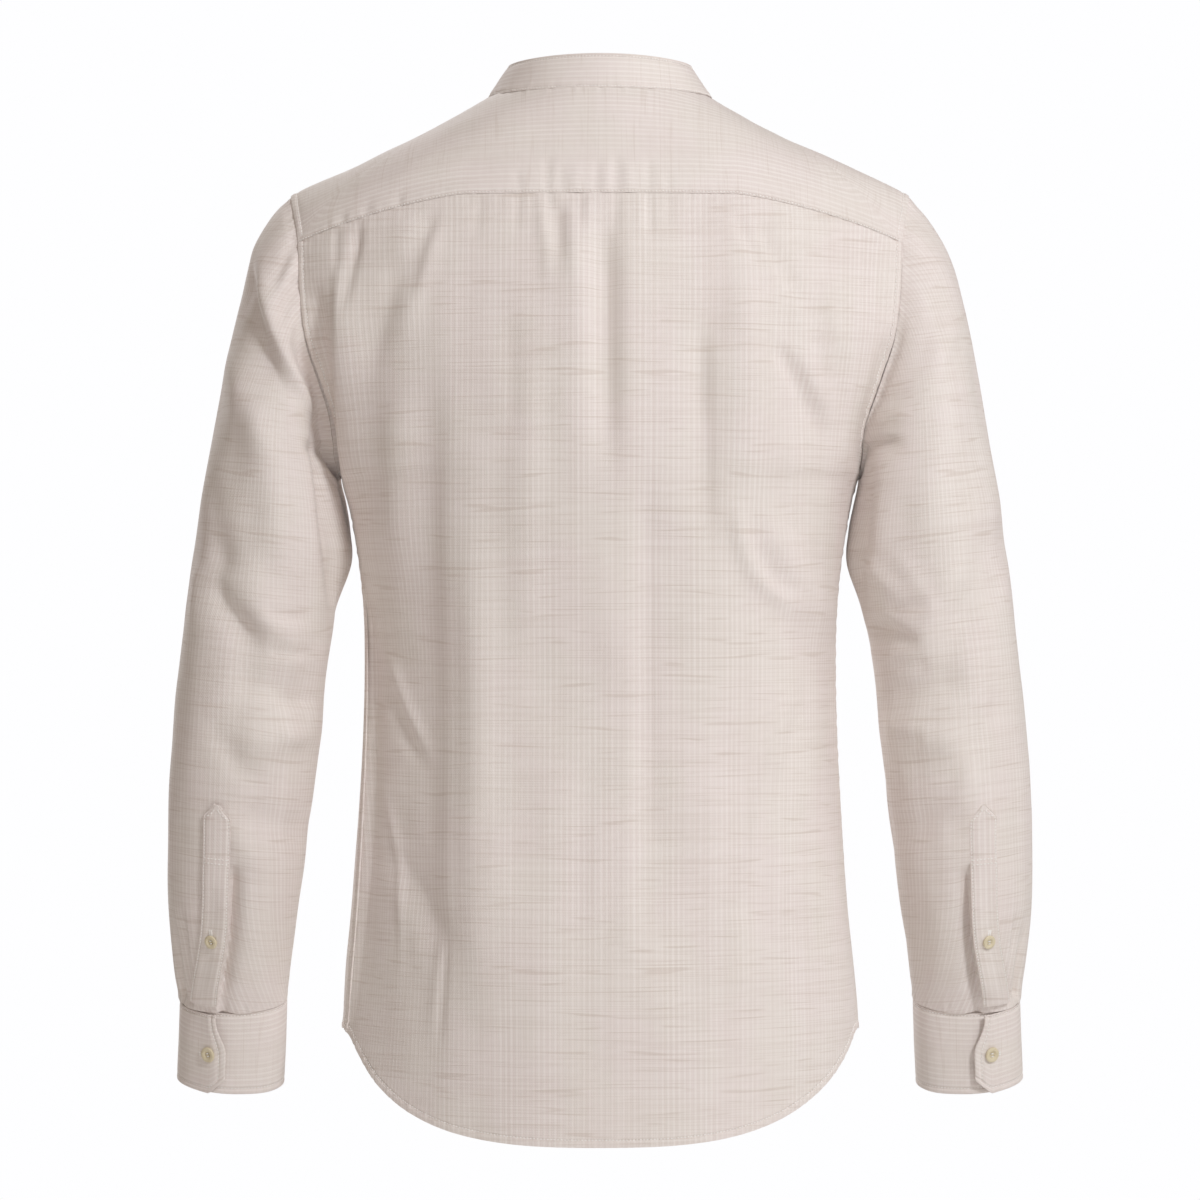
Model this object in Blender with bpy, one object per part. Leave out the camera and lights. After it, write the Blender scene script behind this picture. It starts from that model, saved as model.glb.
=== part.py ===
"""Mandarin collar shirt with long sleeves, hollow and filled out as when it is worn.

Sizes are in millimetres and become metres when a mesh is made. +Z is up and the front faces -Y,
so +X is the wearer's left. The origin lies midway between the neck points of the shoulders,
where the wearer's neck and shoulders carry the shirt.

Every cloth piece is an outer surface, worked out on a grid from the sizes and tables below, with
a wall added on its inside. Neighbours end SEAM_GAP apart along the seams that join them.
"""

import math
from collections import namedtuple

import bpy
import numpy as np

MM = 0.001
WALL = 1.2
SEAM_GAP = 0.3
LAYER = WALL + SEAM_GAP

# Neck and collar band
NECK_HALF_WIDTH = 81.0
NECK_CENTRE_Y = -7.0
NECK_HALF_DEPTH = 65.0
NECK_HEIGHT = 1.5
NECK_DROP = 60.0
BAND_TOP_HALF_WIDTH = 66.0
BAND_TOP_CENTRE_Y = -5.0
BAND_TOP_HALF_DEPTH = 55.0
BAND_TOP_HEIGHT = 24.5
BAND_BACK_RISE = 3.0
BAND_TOP_DROP = 57.0
BAND_CORNER = 11.0
BAND_END_GAP = 1.0
BAND_SEAT = 0.8

# Yoke: the turn about the neck where its front seams start, and its outline's corners
YOKE_NECK_TURN = 118.0
YOKE_BACK_CORNER_TURN = 54.0
YOKE_FRONT_CORNER_TURN = -42.0
YOKE_BACK_SHARE = 0.68
YOKE_SEAM_FLAT_SHARE = 0.4
YOKE_SEAM_CURVE = 1.25
YOKE_SLOPE_AT_SIDE = 0.62
YOKE_SLOPE_MORE_AT_NAPE = 0.33
SHOULDER_TIP_NORMAL = (0.62, 0.0, 0.785)
FRONT_CORNER_NORMAL = (0.55, -0.62, 0.56)

# Heights of the body's edges
YOKE_SEAM_CENTRE = -76.0
YOKE_SEAM_END = -106.0
UNDERARM = -272.0
FRONT_CORNER = -98.0
HEM_SIDE = -667.0
HEM_BACK = -738.0
HEM_FRONT = -716.0
HEM_CURVE = 2.9
HEM_FLARE = 1.45

# Spread of a body panel: the angle of its cross arc from the centre to the edge, in degrees
SPREAD_AT_YOKE = 50.0
SPREAD_AT_UNDERARM = 90.0
SEAM_TURN_AT_HEM = 9.0
NECK_FADE = 0.22

# Button stand, and how far the right front reaches under it and dips over which width
STAND_WIDTH = 34.0
UNDERLAP = 15.0
UNDERLAP_DIP = LAYER + 0.6
DIP_WIDTH = 12.0

# Cuffs and sleeve slits, on the wearer's left; the right side is mirrored. Turns in degrees run
# from the outer side by the back, and the over end of a cuff lies on its back
CUFF_TOP = (267.5, -41.0, -651.5)
CUFF_FOOT = (270.5, -54.3, -711.2)
CUFF_HALF_WIDTH = 39.2
CUFF_HALF_DEPTH = 35.0
CUFF_TILT = 13.0
CUFF_ROLL = 3.3
CUFF_OVER_END = 88.0
CUFF_LAP = 45.0
CUFF_DIP = LAYER + 0.3
CUFF_MITRE = 12.0
CUFF_STEP = 9.0
CUFF_RISE = (9.0, 54.0)
SLIT_WIDTH = 20.0
SLIT_POINT = 10.0
SLIT_BLUNT = 0.12
SLIT_START_SHARE = 0.5
PLACKET_LIFT = LAYER + 0.5

# Buttons: their diameters, the rings of a button's turned profile as insets from the rim and
# heights, the height of the dished face, and each seat as shares down and across or around the
# piece that carries it
CUFF_BUTTON = 11.3
PLACKET_BUTTON = 10.0
BUTTON_PROFILE = ((0.5, 0.0), (0.0, 0.8), (0.4, 2.2), (1.5, 2.2), (2.2, 1.6))
BUTTON_FACE = 1.6
BUTTON_SIDES = 14
CUFF_BUTTON_SEAT = (0.5, 0.957)
PLACKET_BUTTON_SEAT = (0.667, 0.0)
FRONT_BUTTONS = 7
FRONT_BUTTON_SPAN = (0.085, 0.82)

# Grid steps: rows above and below the underarm, and columns of half a panel. The collar band and
# the plackets have closer steps where they are rounded or pointed
ARMHOLE_ROWS = 11
BODY_ROWS = 15
BACK_COLUMNS = 14
SHOULDER_COLUMNS = 8
YOKE_ROWS = 8
NECK_COLUMNS = 4
SLEEVE_ROWS = 18
STAND_COLUMNS = 3
BAND_ROWS = 3
BAND_COLUMNS = 14
BAND_CORNER_SHARES = (0.92, 0.94, 0.96, 0.975, 0.99, 1.0)
PLACKET_POINT_SHARES = (0.0, 0.03, 0.065)
PLACKET_ROWS = 7
CUFF_ROWS = 2
LOOKUP_STEPS = 400

# Shares that keep a piece's edge inside its seam, as the gap over the piece's length or width, and
# a small step along a share
SEAM_INSET = SEAM_GAP / 2 / 600
SIDE_SHARE = 1 - SEAM_GAP / 2 / 240
YOKE_OUTER_SHARE = 1 - SEAM_GAP / 2 / 100
SLEEVE_INSET = SEAM_GAP / 550
REACH = 0.001

CLOTH = "#DDD2C9"
CROSS_CLOTH = "#E0D5CB"
CLOTH_ROUGHNESS = 0.9
BUTTON = "#DACDB0"
BUTTON_ROUGHNESS = 0.35

Depth = namedtuple("Depth", "height y")
BACK_CENTRE = (
    Depth(-60, 88), Depth(-76, 95), Depth(-120, 110), Depth(-180, 119), Depth(-260, 116),
    Depth(-340, 104), Depth(-430, 97), Depth(-520, 105), Depth(-600, 117), Depth(-740, 126),
)
FRONT_CENTRE = (
    Depth(-57, -71.5), Depth(-90, -86), Depth(-140, -102), Depth(-200, -112), Depth(-260, -114),
    Depth(-340, -107), Depth(-430, -101), Depth(-520, -104), Depth(-620, -110), Depth(-720, -113),
)

Side = namedtuple("Side", "height half_width y")
SIDES = (
    Side(-272, 186, -3), Side(-288, 181.5, -3), Side(-306, 178, -3), Side(-331, 174, -3),
    Side(-365, 170.5, -2), Side(-410, 169.5, -1), Side(-455, 170.5, 0), Side(-504, 173, 1),
    Side(-576, 178, 2), Side(-648, 184, 3), Side(-680, 185.5, 3),
)

# The left armhole's seam, once round: 0 at the shoulder tip, 90 at the back, 180 under the arm
Hole = namedtuple("Hole", "turn x y z")
ARMHOLE = (
    Hole(0, 222, 0, -70), Hole(28, 219, 22, -84), Hole(54, 214.5, 38, -106), Hole(73, 213, 44, -138),
    Hole(90, 209.5, 45, -170), Hole(109, 200, 38, -201), Hole(135, 189, 24, -236),
    Hole(158, 186.5, 10, -261), Hole(180, 186, -3, -272), Hole(202, 185, -21, -264),
    Hole(222, 184, -38, -244), Hole(252, 187, -56, -203), Hole(276, 197, -58, -162),
    Hole(298, 207, -52, -126), Hole(318, 213.5, -40, -98), Hole(340, 219, -22, -80),
    Hole(360, 222, 0, -70),
)

# Rings of the left sleeve: outer and inner point as seen from behind, half depth and middle in y,
# and how far the ring tips towards its back, in degrees
Ring = namedtuple("Ring", "outer_x outer_z inner_x inner_z half_depth y tip")
SLEEVE = (
    Ring(222, -70, 186, -272, 51, -7, 0), Ring(237, -86, 187, -276, 56, -6, 0),
    Ring(251, -110, 185.2, -283, 59, -4, 0), Ring(261.5, -144, 182, -295, 61, -2, 0),
    Ring(270, -183, 179.3, -311, 62, 0, 0), Ring(279, -233, 178.5, -334, 62, 1, 0),
    Ring(288.5, -295, 188, -367, 60, 2, 0), Ring(297, -362, 196, -407, 57, 2, 1),
    Ring(304.5, -432, 201, -456, 54, 0, 3), Ring(311, -504, 208.5, -514, 51, -6, 6),
    Ring(313, -572, 219, -578, 48, -18, 9), Ring(310, -621, 226, -624, 42, -31, 12),
    Ring(306.6, -650.8, 228.4, -650.8, 35, -41, 13),
)
CAP_FADE = 0.33
CAP_FADE_POWER = 1.5

# Folds, as seen from behind: from a top point to an end point, with the half width of the bell
# across and its depth, in or out. A fold fades in and out over shares of its length, and on a
# sleeve it also fades towards the seams and where the sleeve turns from back to front
FOLD_START = (-0.12, 0.3)
FOLD_END = (0.6, 1.12)
SLEEVE_FOLDS_START = (0.0, 0.12)
SLEEVE_FOLDS_END = (0.97, 1.0)
BEHIND = (-0.2, 0.4)
Fold = namedtuple("Fold", "x z x_end z_end half_width depth")
BACK_FOLDS = (
    Fold(-9, -84, -12, -260, 12, -6.0), Fold(12, -90, 14, -300, 15, 3.0),
    Fold(106, -200, 116, -620, 22, -8.0), Fold(86, -200, 84, -600, 18, 4.0),
    Fold(134, -180, 140, -400, 17, 5.0), Fold(-76, -150, -82, -330, 17, -5.0),
    Fold(-102, -90, -100, -360, 18, 4.0), Fold(-38, -250, -44, -660, 20, -4.0),
    Fold(160, -500, 98, -630, 17, -6.0), Fold(168, -560, 120, -690, 16, 5.0),
    Fold(-110, -300, -166, -385, 15, 4.5), Fold(-122, -150, -150, -270, 14, -4.0),
)
FRONT_FOLDS = (
    Fold(176, -150, 116, -255, 15, -5.0), Fold(-176, -150, -116, -255, 15, -5.0),
    Fold(112, -110, 98, -430, 19, 4.0), Fold(-106, -120, -94, -410, 19, 4.0),
    Fold(66, -290, 74, -660, 18, -5.0), Fold(-70, -270, -66, -640, 18, -5.0),
    Fold(152, -320, 116, -580, 17, -5.0), Fold(-154, -340, -122, -610, 17, -5.0),
)
SLEEVE_BACK_FOLDS = (
    Fold(262, -150, 214, -330, 16, 5.0), Fold(232, -150, 204, -262, 13, -6.0),
    Fold(280, -250, 232, -396, 16, -5.5), Fold(262, -330, 204, -410, 14, 5.0),
    Fold(260, -416, 200, -430, 12, -4.5), Fold(258, -462, 198, -452, 12, 4.5),
    Fold(256, -508, 206, -532, 13, -4.0),
)
SLEEVE_FRONT_FOLDS = (
    Fold(250, -140, 206, -300, 16, -5.5), Fold(288, -330, 212, -392, 14, 5.0),
    Fold(294, -376, 206, -408, 13, -6.0), Fold(300, -432, 204, -430, 14, 5.5),
    Fold(302, -468, 208, -456, 12, -5.5), Fold(304, -524, 216, -490, 13, 4.0),
)

# Pleats that take the sleeve into its cuff: turn, half width in degrees, depth, height they rise to
PLEAT_FADE = 60.0
Pleat = namedtuple("Pleat", "turn half_width depth top")
PLEATS = (Pleat(24, 6.5, -4.5, -575), Pleat(338, 6.5, -4.5, -585))

# The slit's middle line on the sleeve, from the placket's point down to the cuff
Slit = namedtuple("Slit", "height turn")
SLIT = (Slit(-505, 72.5), Slit(-548, 75), Slit(-605, 74.5), Slit(-632, 66), Slit(-652, 56))


def columns(rows):
    """The table's columns as arrays, under the names of its rows' fields."""
    return type(rows[0])(*np.array(rows, float).T)


def curve_through(knots, values, at):
    """Cubic pieces through the knots, whose slope at each knot is that of its neighbours."""
    knots = np.asarray(knots, float)
    values = np.asarray(values, float)
    slopes = np.gradient(values, knots, axis=0)
    piece = np.clip(np.searchsorted(knots, at) - 1, 0, len(knots) - 2)
    length = knots[piece + 1] - knots[piece]
    share = (at - knots[piece]) / length
    return hermite(values[piece], slopes[piece] * length, values[piece + 1],
                   slopes[piece + 1] * length, share)


def hermite(start, start_way, end, end_way, share):
    """Cubic from start to end that leaves along start_way and arrives along end_way."""
    square = share * share
    cube = square * share
    return (start * (2 * cube - 3 * square + 1) + start_way * (cube - 2 * square + share)
            + end * (3 * square - 2 * cube) + end_way * (cube - square))


def by_height(rows, name, height):
    """One column of a table with falling heights, read smoothly at the given heights."""
    table = columns(rows)
    return curve_through(table.height[::-1], getattr(table, name)[::-1], height)


def step(low, high, value):
    """0 below low, 1 above high, and a smooth rise between them."""
    share = np.clip((value - low) / (high - low), 0.0, 1.0)
    return share * share * (3 - 2 * share)


def surface_normals(shape, down, across):
    """Unit normals of a surface: the way of growing across times the way of growing down."""
    sideways = shape(down, across + REACH) - shape(down, across - REACH)
    downwards = shape(down + REACH, across) - shape(down - REACH, across)
    return unit(np.cross(sideways, downwards))


def unit(vectors):
    return vectors / np.linalg.norm(vectors, axis=-1, keepdims=True)


def neck(turn):
    """Neck seam at a turn from the nape: an ellipse that drops with the squared cosine in front."""
    angle = np.radians(turn)
    front = np.cos(angle) < 0
    height = NECK_HEIGHT - NECK_DROP * np.where(front, np.cos(angle) ** 2, 0.0)
    return np.stack([NECK_HALF_WIDTH * np.sin(angle),
                     NECK_CENTRE_Y + NECK_HALF_DEPTH * np.cos(angle), height], axis=-1)


def band_top(turn):
    """Top line of the collar band: a smaller ellipse above the neck seam."""
    angle = np.radians(turn)
    square = np.cos(angle) ** 2
    height = BAND_TOP_HEIGHT + np.where(np.cos(angle) < 0, -BAND_TOP_DROP, BAND_BACK_RISE) * square
    return np.stack([BAND_TOP_HALF_WIDTH * np.sin(angle),
                     BAND_TOP_CENTRE_Y + BAND_TOP_HALF_DEPTH * np.cos(angle), height], axis=-1)


def armhole(turn):
    """The left armhole's seam at a turn, on a closed smooth curve."""
    table = columns(ARMHOLE)
    knots = np.concatenate([table.turn[-4:-1] - 360, table.turn, table.turn[1:4] + 360])
    turn = np.mod(turn, 360)
    points = [curve_through(knots, np.concatenate([values[-4:-1], values, values[1:4]]), turn)
              for values in (table.x, table.y, table.z)]
    return np.stack(points, axis=-1)


def armhole_turns(height, on_back):
    """Turns at which the armhole's back or front, from the yoke to the underarm, is at a height."""
    start = YOKE_BACK_CORNER_TURN if on_back else 360 + YOKE_FRONT_CORNER_TURN
    turns = np.linspace(180, start, LOOKUP_STEPS)
    return np.interp(height, armhole(turns)[:, 2], turns)


def body_edge(height, on_back):
    """x and y of a body panel's edge: the armhole's back or front down to the underarm, and the
    side seam below it, which sits a little behind the widest line near the hem."""
    hole = armhole(armhole_turns(height, on_back))
    below = np.minimum(height, UNDERARM)
    turn = np.radians(seam_turn(below))
    depth = by_height(BACK_CENTRE, "y", below)
    seam_x = by_height(SIDES, "half_width", below) * np.cos(turn)
    seam_y = by_height(SIDES, "y", below) + depth * np.sin(turn)
    armed = height > UNDERARM
    return np.where(armed, hole[..., 0], seam_x), np.where(armed, hole[..., 1], seam_y)


def seam_turn(height):
    """How far the side seam lies behind the widest line, in degrees."""
    return SEAM_TURN_AT_HEM * step(-UNDERARM, -HEM_SIDE, -height)


def spread(height, on_back):
    """Angle of a panel's cross arc at an edge height, in degrees."""
    top = YOKE_SEAM_END if on_back else FRONT_CORNER
    above = SPREAD_AT_YOKE + (SPREAD_AT_UNDERARM - SPREAD_AT_YOKE) * step(-top, -UNDERARM, -height)
    return above + seam_turn(np.minimum(height, UNDERARM)) * (-1 if on_back else 1)


def panel_rows(down, on_back):
    """Edge height, centre height and centre depth of a panel's rows, from 0 at the top to 1."""
    if on_back:
        edge = YOKE_SEAM_END + (HEM_SIDE - YOKE_SEAM_END) * down
        centre = YOKE_SEAM_CENTRE + (HEM_BACK - YOKE_SEAM_CENTRE) * down
        return edge, centre, by_height(BACK_CENTRE, "y", centre)
    edge = FRONT_CORNER + (HEM_SIDE - FRONT_CORNER) * down
    centre = neck(180.0)[2] + (HEM_FRONT - neck(180.0)[2]) * down
    return edge, centre, by_height(FRONT_CENTRE, "y", centre)


def back_panel(down, across):
    return panel(down, across, True)


def panel(down, across, on_back):
    """A body panel without folds. Each row is an arc from the centre line to the edge: x goes with
    the sine and y with the cosine of the share of the row's spread, and z eases from the centre
    height to the edge height, flat and then falling along the yoke, in a double curve along the
    hem."""
    edge_z, centre_z, centre_y = panel_rows(down, on_back)
    edge_x, edge_y = body_edge(edge_z, on_back)
    angle = np.radians(spread(edge_z, on_back))
    share = np.abs(across)
    x = edge_x * np.sin(across * angle) / np.sin(angle)
    y = edge_y + (centre_y - edge_y) * (np.cos(across * angle) - np.cos(angle)) / (1 - np.cos(angle))
    past_flat = np.clip((share - YOKE_SEAM_FLAT_SHARE) / (1 - YOKE_SEAM_FLAT_SHARE), 0, 1)
    hem_ease = 1 - np.clip(1 - share ** HEM_CURVE, 0, None) ** HEM_FLARE
    ease = (1 - down) * past_flat ** YOKE_SEAM_CURVE + down * hem_ease
    return np.stack([x, y, centre_z + (edge_z - centre_z) * ease], axis=-1)


def front_across(down, x):
    """Share across a row at which the fronts reach x."""
    edge_z = panel_rows(down, False)[0]
    angle = np.radians(spread(edge_z, False))
    return np.arcsin(x * np.sin(angle) / body_edge(edge_z, False)[0]) / angle


def front_neck_share():
    """Share across at which the yoke's front seam meets the neck."""
    return front_across(np.zeros(1), neck(YOKE_NECK_TURN)[0])[0]


def yoke(out, around):
    """The yoke at a share out from the neck and a share around, -1 to 1 from front seam to front
    seam. Each column is a cubic from the neck seam to the armhole or the back seam. It leaves the
    neck outwards and down, and it arrives in the plane of the surface that it meets."""
    share = np.abs(around)
    turn = YOKE_NECK_TURN * share
    start = neck(turn)
    on_back = back_panel(np.zeros_like(share), np.minimum(share / YOKE_BACK_SHARE, 1.0))
    past = np.clip((share - YOKE_BACK_SHARE) / (1 - YOKE_BACK_SHARE), 0, None)
    corner_turns = YOKE_FRONT_CORNER_TURN - YOKE_BACK_CORNER_TURN
    on_hole = armhole(YOKE_BACK_CORNER_TURN + corner_turns * past)
    end = np.where((share > YOKE_BACK_SHARE)[..., None], on_hole, on_back)
    chord = end - start
    length = np.linalg.norm(chord, axis=-1, keepdims=True)
    normal = yoke_edge_normal(share, past)
    arrive = unit(chord - np.sum(chord * normal, axis=-1, keepdims=True) * normal) * length
    angle = np.radians(turn)
    fall = YOKE_SLOPE_AT_SIDE + YOKE_SLOPE_MORE_AT_NAPE * np.maximum(np.cos(angle), 0) ** 2
    radial = np.stack([np.sin(angle), np.cos(angle), -fall], axis=-1)
    reach = np.hypot(chord[..., 0], chord[..., 1])
    towards = np.stack([chord[..., 0], chord[..., 1], -fall * reach], axis=-1)
    leave = unit(unit(radial) + unit(towards)) * length
    points = hermite(start, leave, end, arrive, out[..., None])
    points[..., 0] *= np.where(around < 0, -1, 1)
    return points


def yoke_edge_normal(share, past):
    """Normal along the yoke's outer edge: that of the back along the back seam, and over the
    shoulder a blend from the back corner by the shoulder tip to the front corner."""
    top = np.zeros_like(share)
    here = np.clip(share / YOKE_BACK_SHARE, REACH, 1.0)
    back_normal = surface_normals(back_panel, top, here)
    tip = YOKE_BACK_CORNER_TURN / (YOKE_BACK_CORNER_TURN - YOKE_FRONT_CORNER_TURN)
    to_tip = step(0, tip, past)[..., None]
    to_front = step(tip, 1, past)[..., None]
    normal = back_normal * (1 - to_tip) + np.array(SHOULDER_TIP_NORMAL) * to_tip
    return unit(normal * (1 - to_front) + np.array(FRONT_CORNER_NORMAL) * to_front)


def front_top(across):
    """Top edge of the fronts: the neck seam from the centre, then the yoke's front seam."""
    flat = panel(np.zeros_like(across), across, False)
    share = np.abs(across)
    neck_share = front_neck_share()
    turn = 180 - np.degrees(np.arcsin(np.clip(np.abs(flat[..., 0]) / NECK_HALF_WIDTH, 0, 1)))
    on_neck = neck(turn)
    out = np.clip((share - neck_share) / (1 - neck_share), 0, None)
    on_seam = yoke(out, np.ones_like(share))
    points = np.where((share > neck_share)[..., None], on_seam, on_neck)
    points[..., 0] *= np.where(across < 0, -1, 1)
    return points


def plain_front(down, across):
    """The fronts without folds: the panel, lifted near the top to its true top edge, the lift
    fading with the square of the way down."""
    lift = front_top(across) - panel(np.zeros_like(down), across, False)
    fade = np.clip(1 - down / NECK_FADE, 0, None) ** 2
    return panel(down, across, False) + lift * fade[..., None]


def fold_depth(points, folds):
    """How far the folds move each point: a bell across each fold's line as seen from behind,
    fading to both its ends."""
    depth = np.zeros(points.shape[:-1])
    for fold in folds:
        line = np.array([fold.x_end - fold.x, fold.z_end - fold.z])
        length = np.hypot(*line)
        offset = points[..., [0, 2]] - np.array([fold.x, fold.z])
        along = offset @ line / length ** 2
        aside = (offset[..., 0] * line[1] - offset[..., 1] * line[0]) / length
        fade = step(*FOLD_START, along) * (1 - step(*FOLD_END, along))
        depth += fold.depth * np.exp(-(aside / fold.half_width) ** 2) * fade
    return depth


def back(down, across):
    """The back with its folds."""
    points = back_panel(down, across)
    normals = surface_normals(back_panel, down, across)
    return points + normals * fold_depth(points, BACK_FOLDS)[..., None]


def front(down, across):
    """The fronts with their folds, from the right edge at -1 to the left edge at 1."""
    points = plain_front(down, across)
    normals = surface_normals(plain_front, down, across)
    return points - normals * fold_depth(points, FRONT_FOLDS)[..., None]


def plain_sleeve(down, around):
    """The left sleeve without folds, at a share down from the armhole and a share around: 0 at the
    outer side, a quarter at the back, a half at the inner side. A ring is an ellipse between its
    outer and inner point, its depth tipped back. Near the armhole the seam's own departure from an
    ellipse is added, fading away downwards."""
    table = columns(SLEEVE)
    places = np.linspace(0, 1, len(SLEEVE))
    ring = Ring(*(curve_through(places, values, down) for values in table))
    turn = 360 * around
    seam = armhole(turn) - ellipse(SLEEVE[0], turn)
    return ellipse(ring, turn) + seam * (np.clip(1 - down / CAP_FADE, 0, 1) ** CAP_FADE_POWER)[..., None]


def ellipse(ring, turn):
    """Point of a sleeve ring at a turn."""
    angle = np.radians(turn)
    tip = np.radians(ring.tip)
    depth = ring.half_depth * np.sin(angle)
    outer_share = (1 + np.cos(angle)) / 2
    x = ring.inner_x + (ring.outer_x - ring.inner_x) * outer_share
    z = ring.inner_z + (ring.outer_z - ring.inner_z) * outer_share
    return np.stack([x, ring.y + depth * np.cos(tip), z - depth * np.sin(tip)], axis=-1)


def sleeve(down, around):
    """The left sleeve with its folds, and with the pleats that take it into the cuff."""
    points = plain_sleeve(down, around)
    normals = -surface_normals(plain_sleeve, down, around)
    behind = step(*BEHIND, normals[..., 1])
    depth = fold_depth(points, SLEEVE_BACK_FOLDS) * behind
    depth += fold_depth(points, SLEEVE_FRONT_FOLDS) * (1 - behind)
    depth *= step(*SLEEVE_FOLDS_START, down) * (1 - step(*SLEEVE_FOLDS_END, down))
    for pleat in PLEATS:
        aside = (np.mod(360 * around - pleat.turn + 180, 360) - 180) / pleat.half_width
        rise = step(-pleat.top, PLEAT_FADE - pleat.top, -points[..., 2])
        depth += pleat.depth * np.exp(-aside ** 2) * rise
    return points + normals * depth[..., None]


def right_front(down, across):
    """The right front, which dips where it passes under the button stand."""
    points = front(down, across)
    normals = -surface_normals(plain_front, down, across)
    dip = UNDERLAP_DIP * step(-STAND_WIDTH / 2 - DIP_WIDTH, -STAND_WIDTH / 2, points[..., 0])
    return points - normals * dip[..., None]


def collar_band(down, around):
    """The band from its top line at 0 to the neck seam at 1, between its two ends at -1 and 1.
    The upper corners of the ends are round."""
    end = 180 - math.degrees(math.asin(BAND_END_GAP / 2 / BAND_TOP_HALF_WIDTH))
    turn = around * end
    seam = neck(turn)
    top = band_top(turn)
    foot = seam + unit(top - seam) * BAND_SEAT
    ahead = np.cos(np.radians(turn)) < 0
    left = np.where(ahead, BAND_CORNER + BAND_END_GAP / 2 - np.abs(top[..., 0]), 0)
    left = np.clip(left, 0, BAND_CORNER)
    rounding = BAND_CORNER - np.sqrt(BAND_CORNER ** 2 - left ** 2)
    cut = rounding / np.linalg.norm(top - foot, axis=-1)
    return top + (foot - top) * (down + (1 - down) * cut)[..., None]


def cuff(down, around):
    """The left cuff, once round from its under end at 0 to its over end at 1 and a lap further: an
    ellipse about a leaning axis. Under the lap the cuff lies a layer further in, and past the lap
    it comes out again. The foot rolls up towards the outer side, and the over end's lower corner
    is cut off."""
    turn = CUFF_OVER_END - CUFF_LAP + (360 + CUFF_LAP) * around
    angle = np.radians(turn)
    tilt = math.radians(CUFF_TILT)
    top = np.array(CUFF_TOP)
    axis = np.array(CUFF_FOOT) - top
    to_end = np.radians(CUFF_OVER_END + 360 - turn) * CUFF_HALF_WIDTH
    cut = np.clip(CUFF_MITRE - to_end, 0, CUFF_MITRE) / np.linalg.norm(axis)
    start, end = CUFF_RISE
    under = CUFF_DIP * (1 - step(CUFF_OVER_END + start, CUFF_OVER_END + end, turn))
    depth = (CUFF_HALF_DEPTH - under) * np.sin(angle)
    width = (CUFF_HALF_WIDTH - under) * np.cos(angle)
    roll = width * down * math.tan(math.radians(CUFF_ROLL))
    ring = np.stack([width, depth * math.cos(tilt), roll - depth * math.sin(tilt)], axis=-1)
    return top + axis * (down * (1 - cut))[..., None] + ring


def sleeve_placket(down, across):
    """The strip over the left sleeve's slit, a layer outside the sleeve, with a pointed top."""
    slit = columns(SLIT)
    height = slit.height[0] + (slit.height[-1] - slit.height[0]) * down
    taper = np.clip(SLIT_BLUNT + (slit.height[0] - height) / SLIT_POINT, SLIT_BLUNT, 1)
    rings = columns(SLEEVE)
    radius = curve_through(-rings.outer_z, rings.half_depth, -height)
    middle = curve_through(-slit.height, slit.turn, -height)
    turn = middle + np.degrees(SLIT_WIDTH / 2 / radius) * taper * across
    share = sleeve_down(height)
    return sleeve(share, turn / 360) - surface_normals(sleeve, share, turn / 360) * PLACKET_LIFT


def sleeve_down(height):
    """Share down the sleeve at which its slit's line reaches a height."""
    shares = np.linspace(SLIT_START_SHARE, 1, LOOKUP_STEPS)
    line = plain_sleeve(shares, np.full_like(shares, SLIT[0].turn / 360))
    return np.interp(-height, -line[:, 2], shares)


def linear_colour(code):
    """Linear red, green, blue and alpha of an sRGB hex colour."""
    shares = [int(code[place:place + 2], 16) / 255 for place in (1, 3, 5)]
    linear = [share / 12.92 if share <= 0.04045 else ((share + 0.055) / 1.055) ** 2.4
              for share in shares]
    return (*linear, 1.0)


def add_object(name, points, faces, code, roughness, inside_out=False, mirror=False):
    """A smooth object from points in millimetres, with a material of its own. A mirrored object is
    the image on the wearer's right, and its faces turn round with it."""
    if mirror:
        points = points * np.array([-1, 1, 1])
    if inside_out != mirror:
        faces = [face[::-1] for face in faces]
    mesh = bpy.data.meshes.new(name)
    mesh.from_pydata((points * MM).tolist(), [], faces)
    mesh.shade_smooth()
    material = bpy.data.materials.new(name)
    material.use_nodes = True
    shader = material.node_tree.nodes["Principled BSDF"]
    shader.inputs["Base Color"].default_value = linear_colour(code)
    shader.inputs["Roughness"].default_value = roughness
    shader.inputs["Metallic"].default_value = 0.0
    mesh.materials.append(material)
    bpy.context.scene.collection.objects.link(bpy.data.objects.new(name, mesh))


def wall_faces(rows, cols, closed):
    """Quads of a wall's outer grid, of its inner grid and of the rims between them. A closed
    grid's last column joins its first."""
    count = rows * cols
    number = np.arange(count).reshape(rows, cols)
    if closed:
        number = np.concatenate([number, number[:, :1]], axis=1)
        rims = [number[0], number[-1, ::-1]]
    else:
        rims = [np.concatenate([number[0, :-1], number[:-1, -1], number[-1, :0:-1],
                                number[::-1, 0]])]
    corners = [number[:-1, :-1], number[:-1, 1:], number[1:, 1:], number[1:, :-1]]
    outer = np.stack(corners, axis=-1).reshape(-1, 4)
    edges = [np.stack([rim[1:], rim[:-1], rim[:-1] + count, rim[1:] + count], axis=-1)
             for rim in rims]
    return np.concatenate([outer, outer[:, ::-1] + count, *edges])


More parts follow.
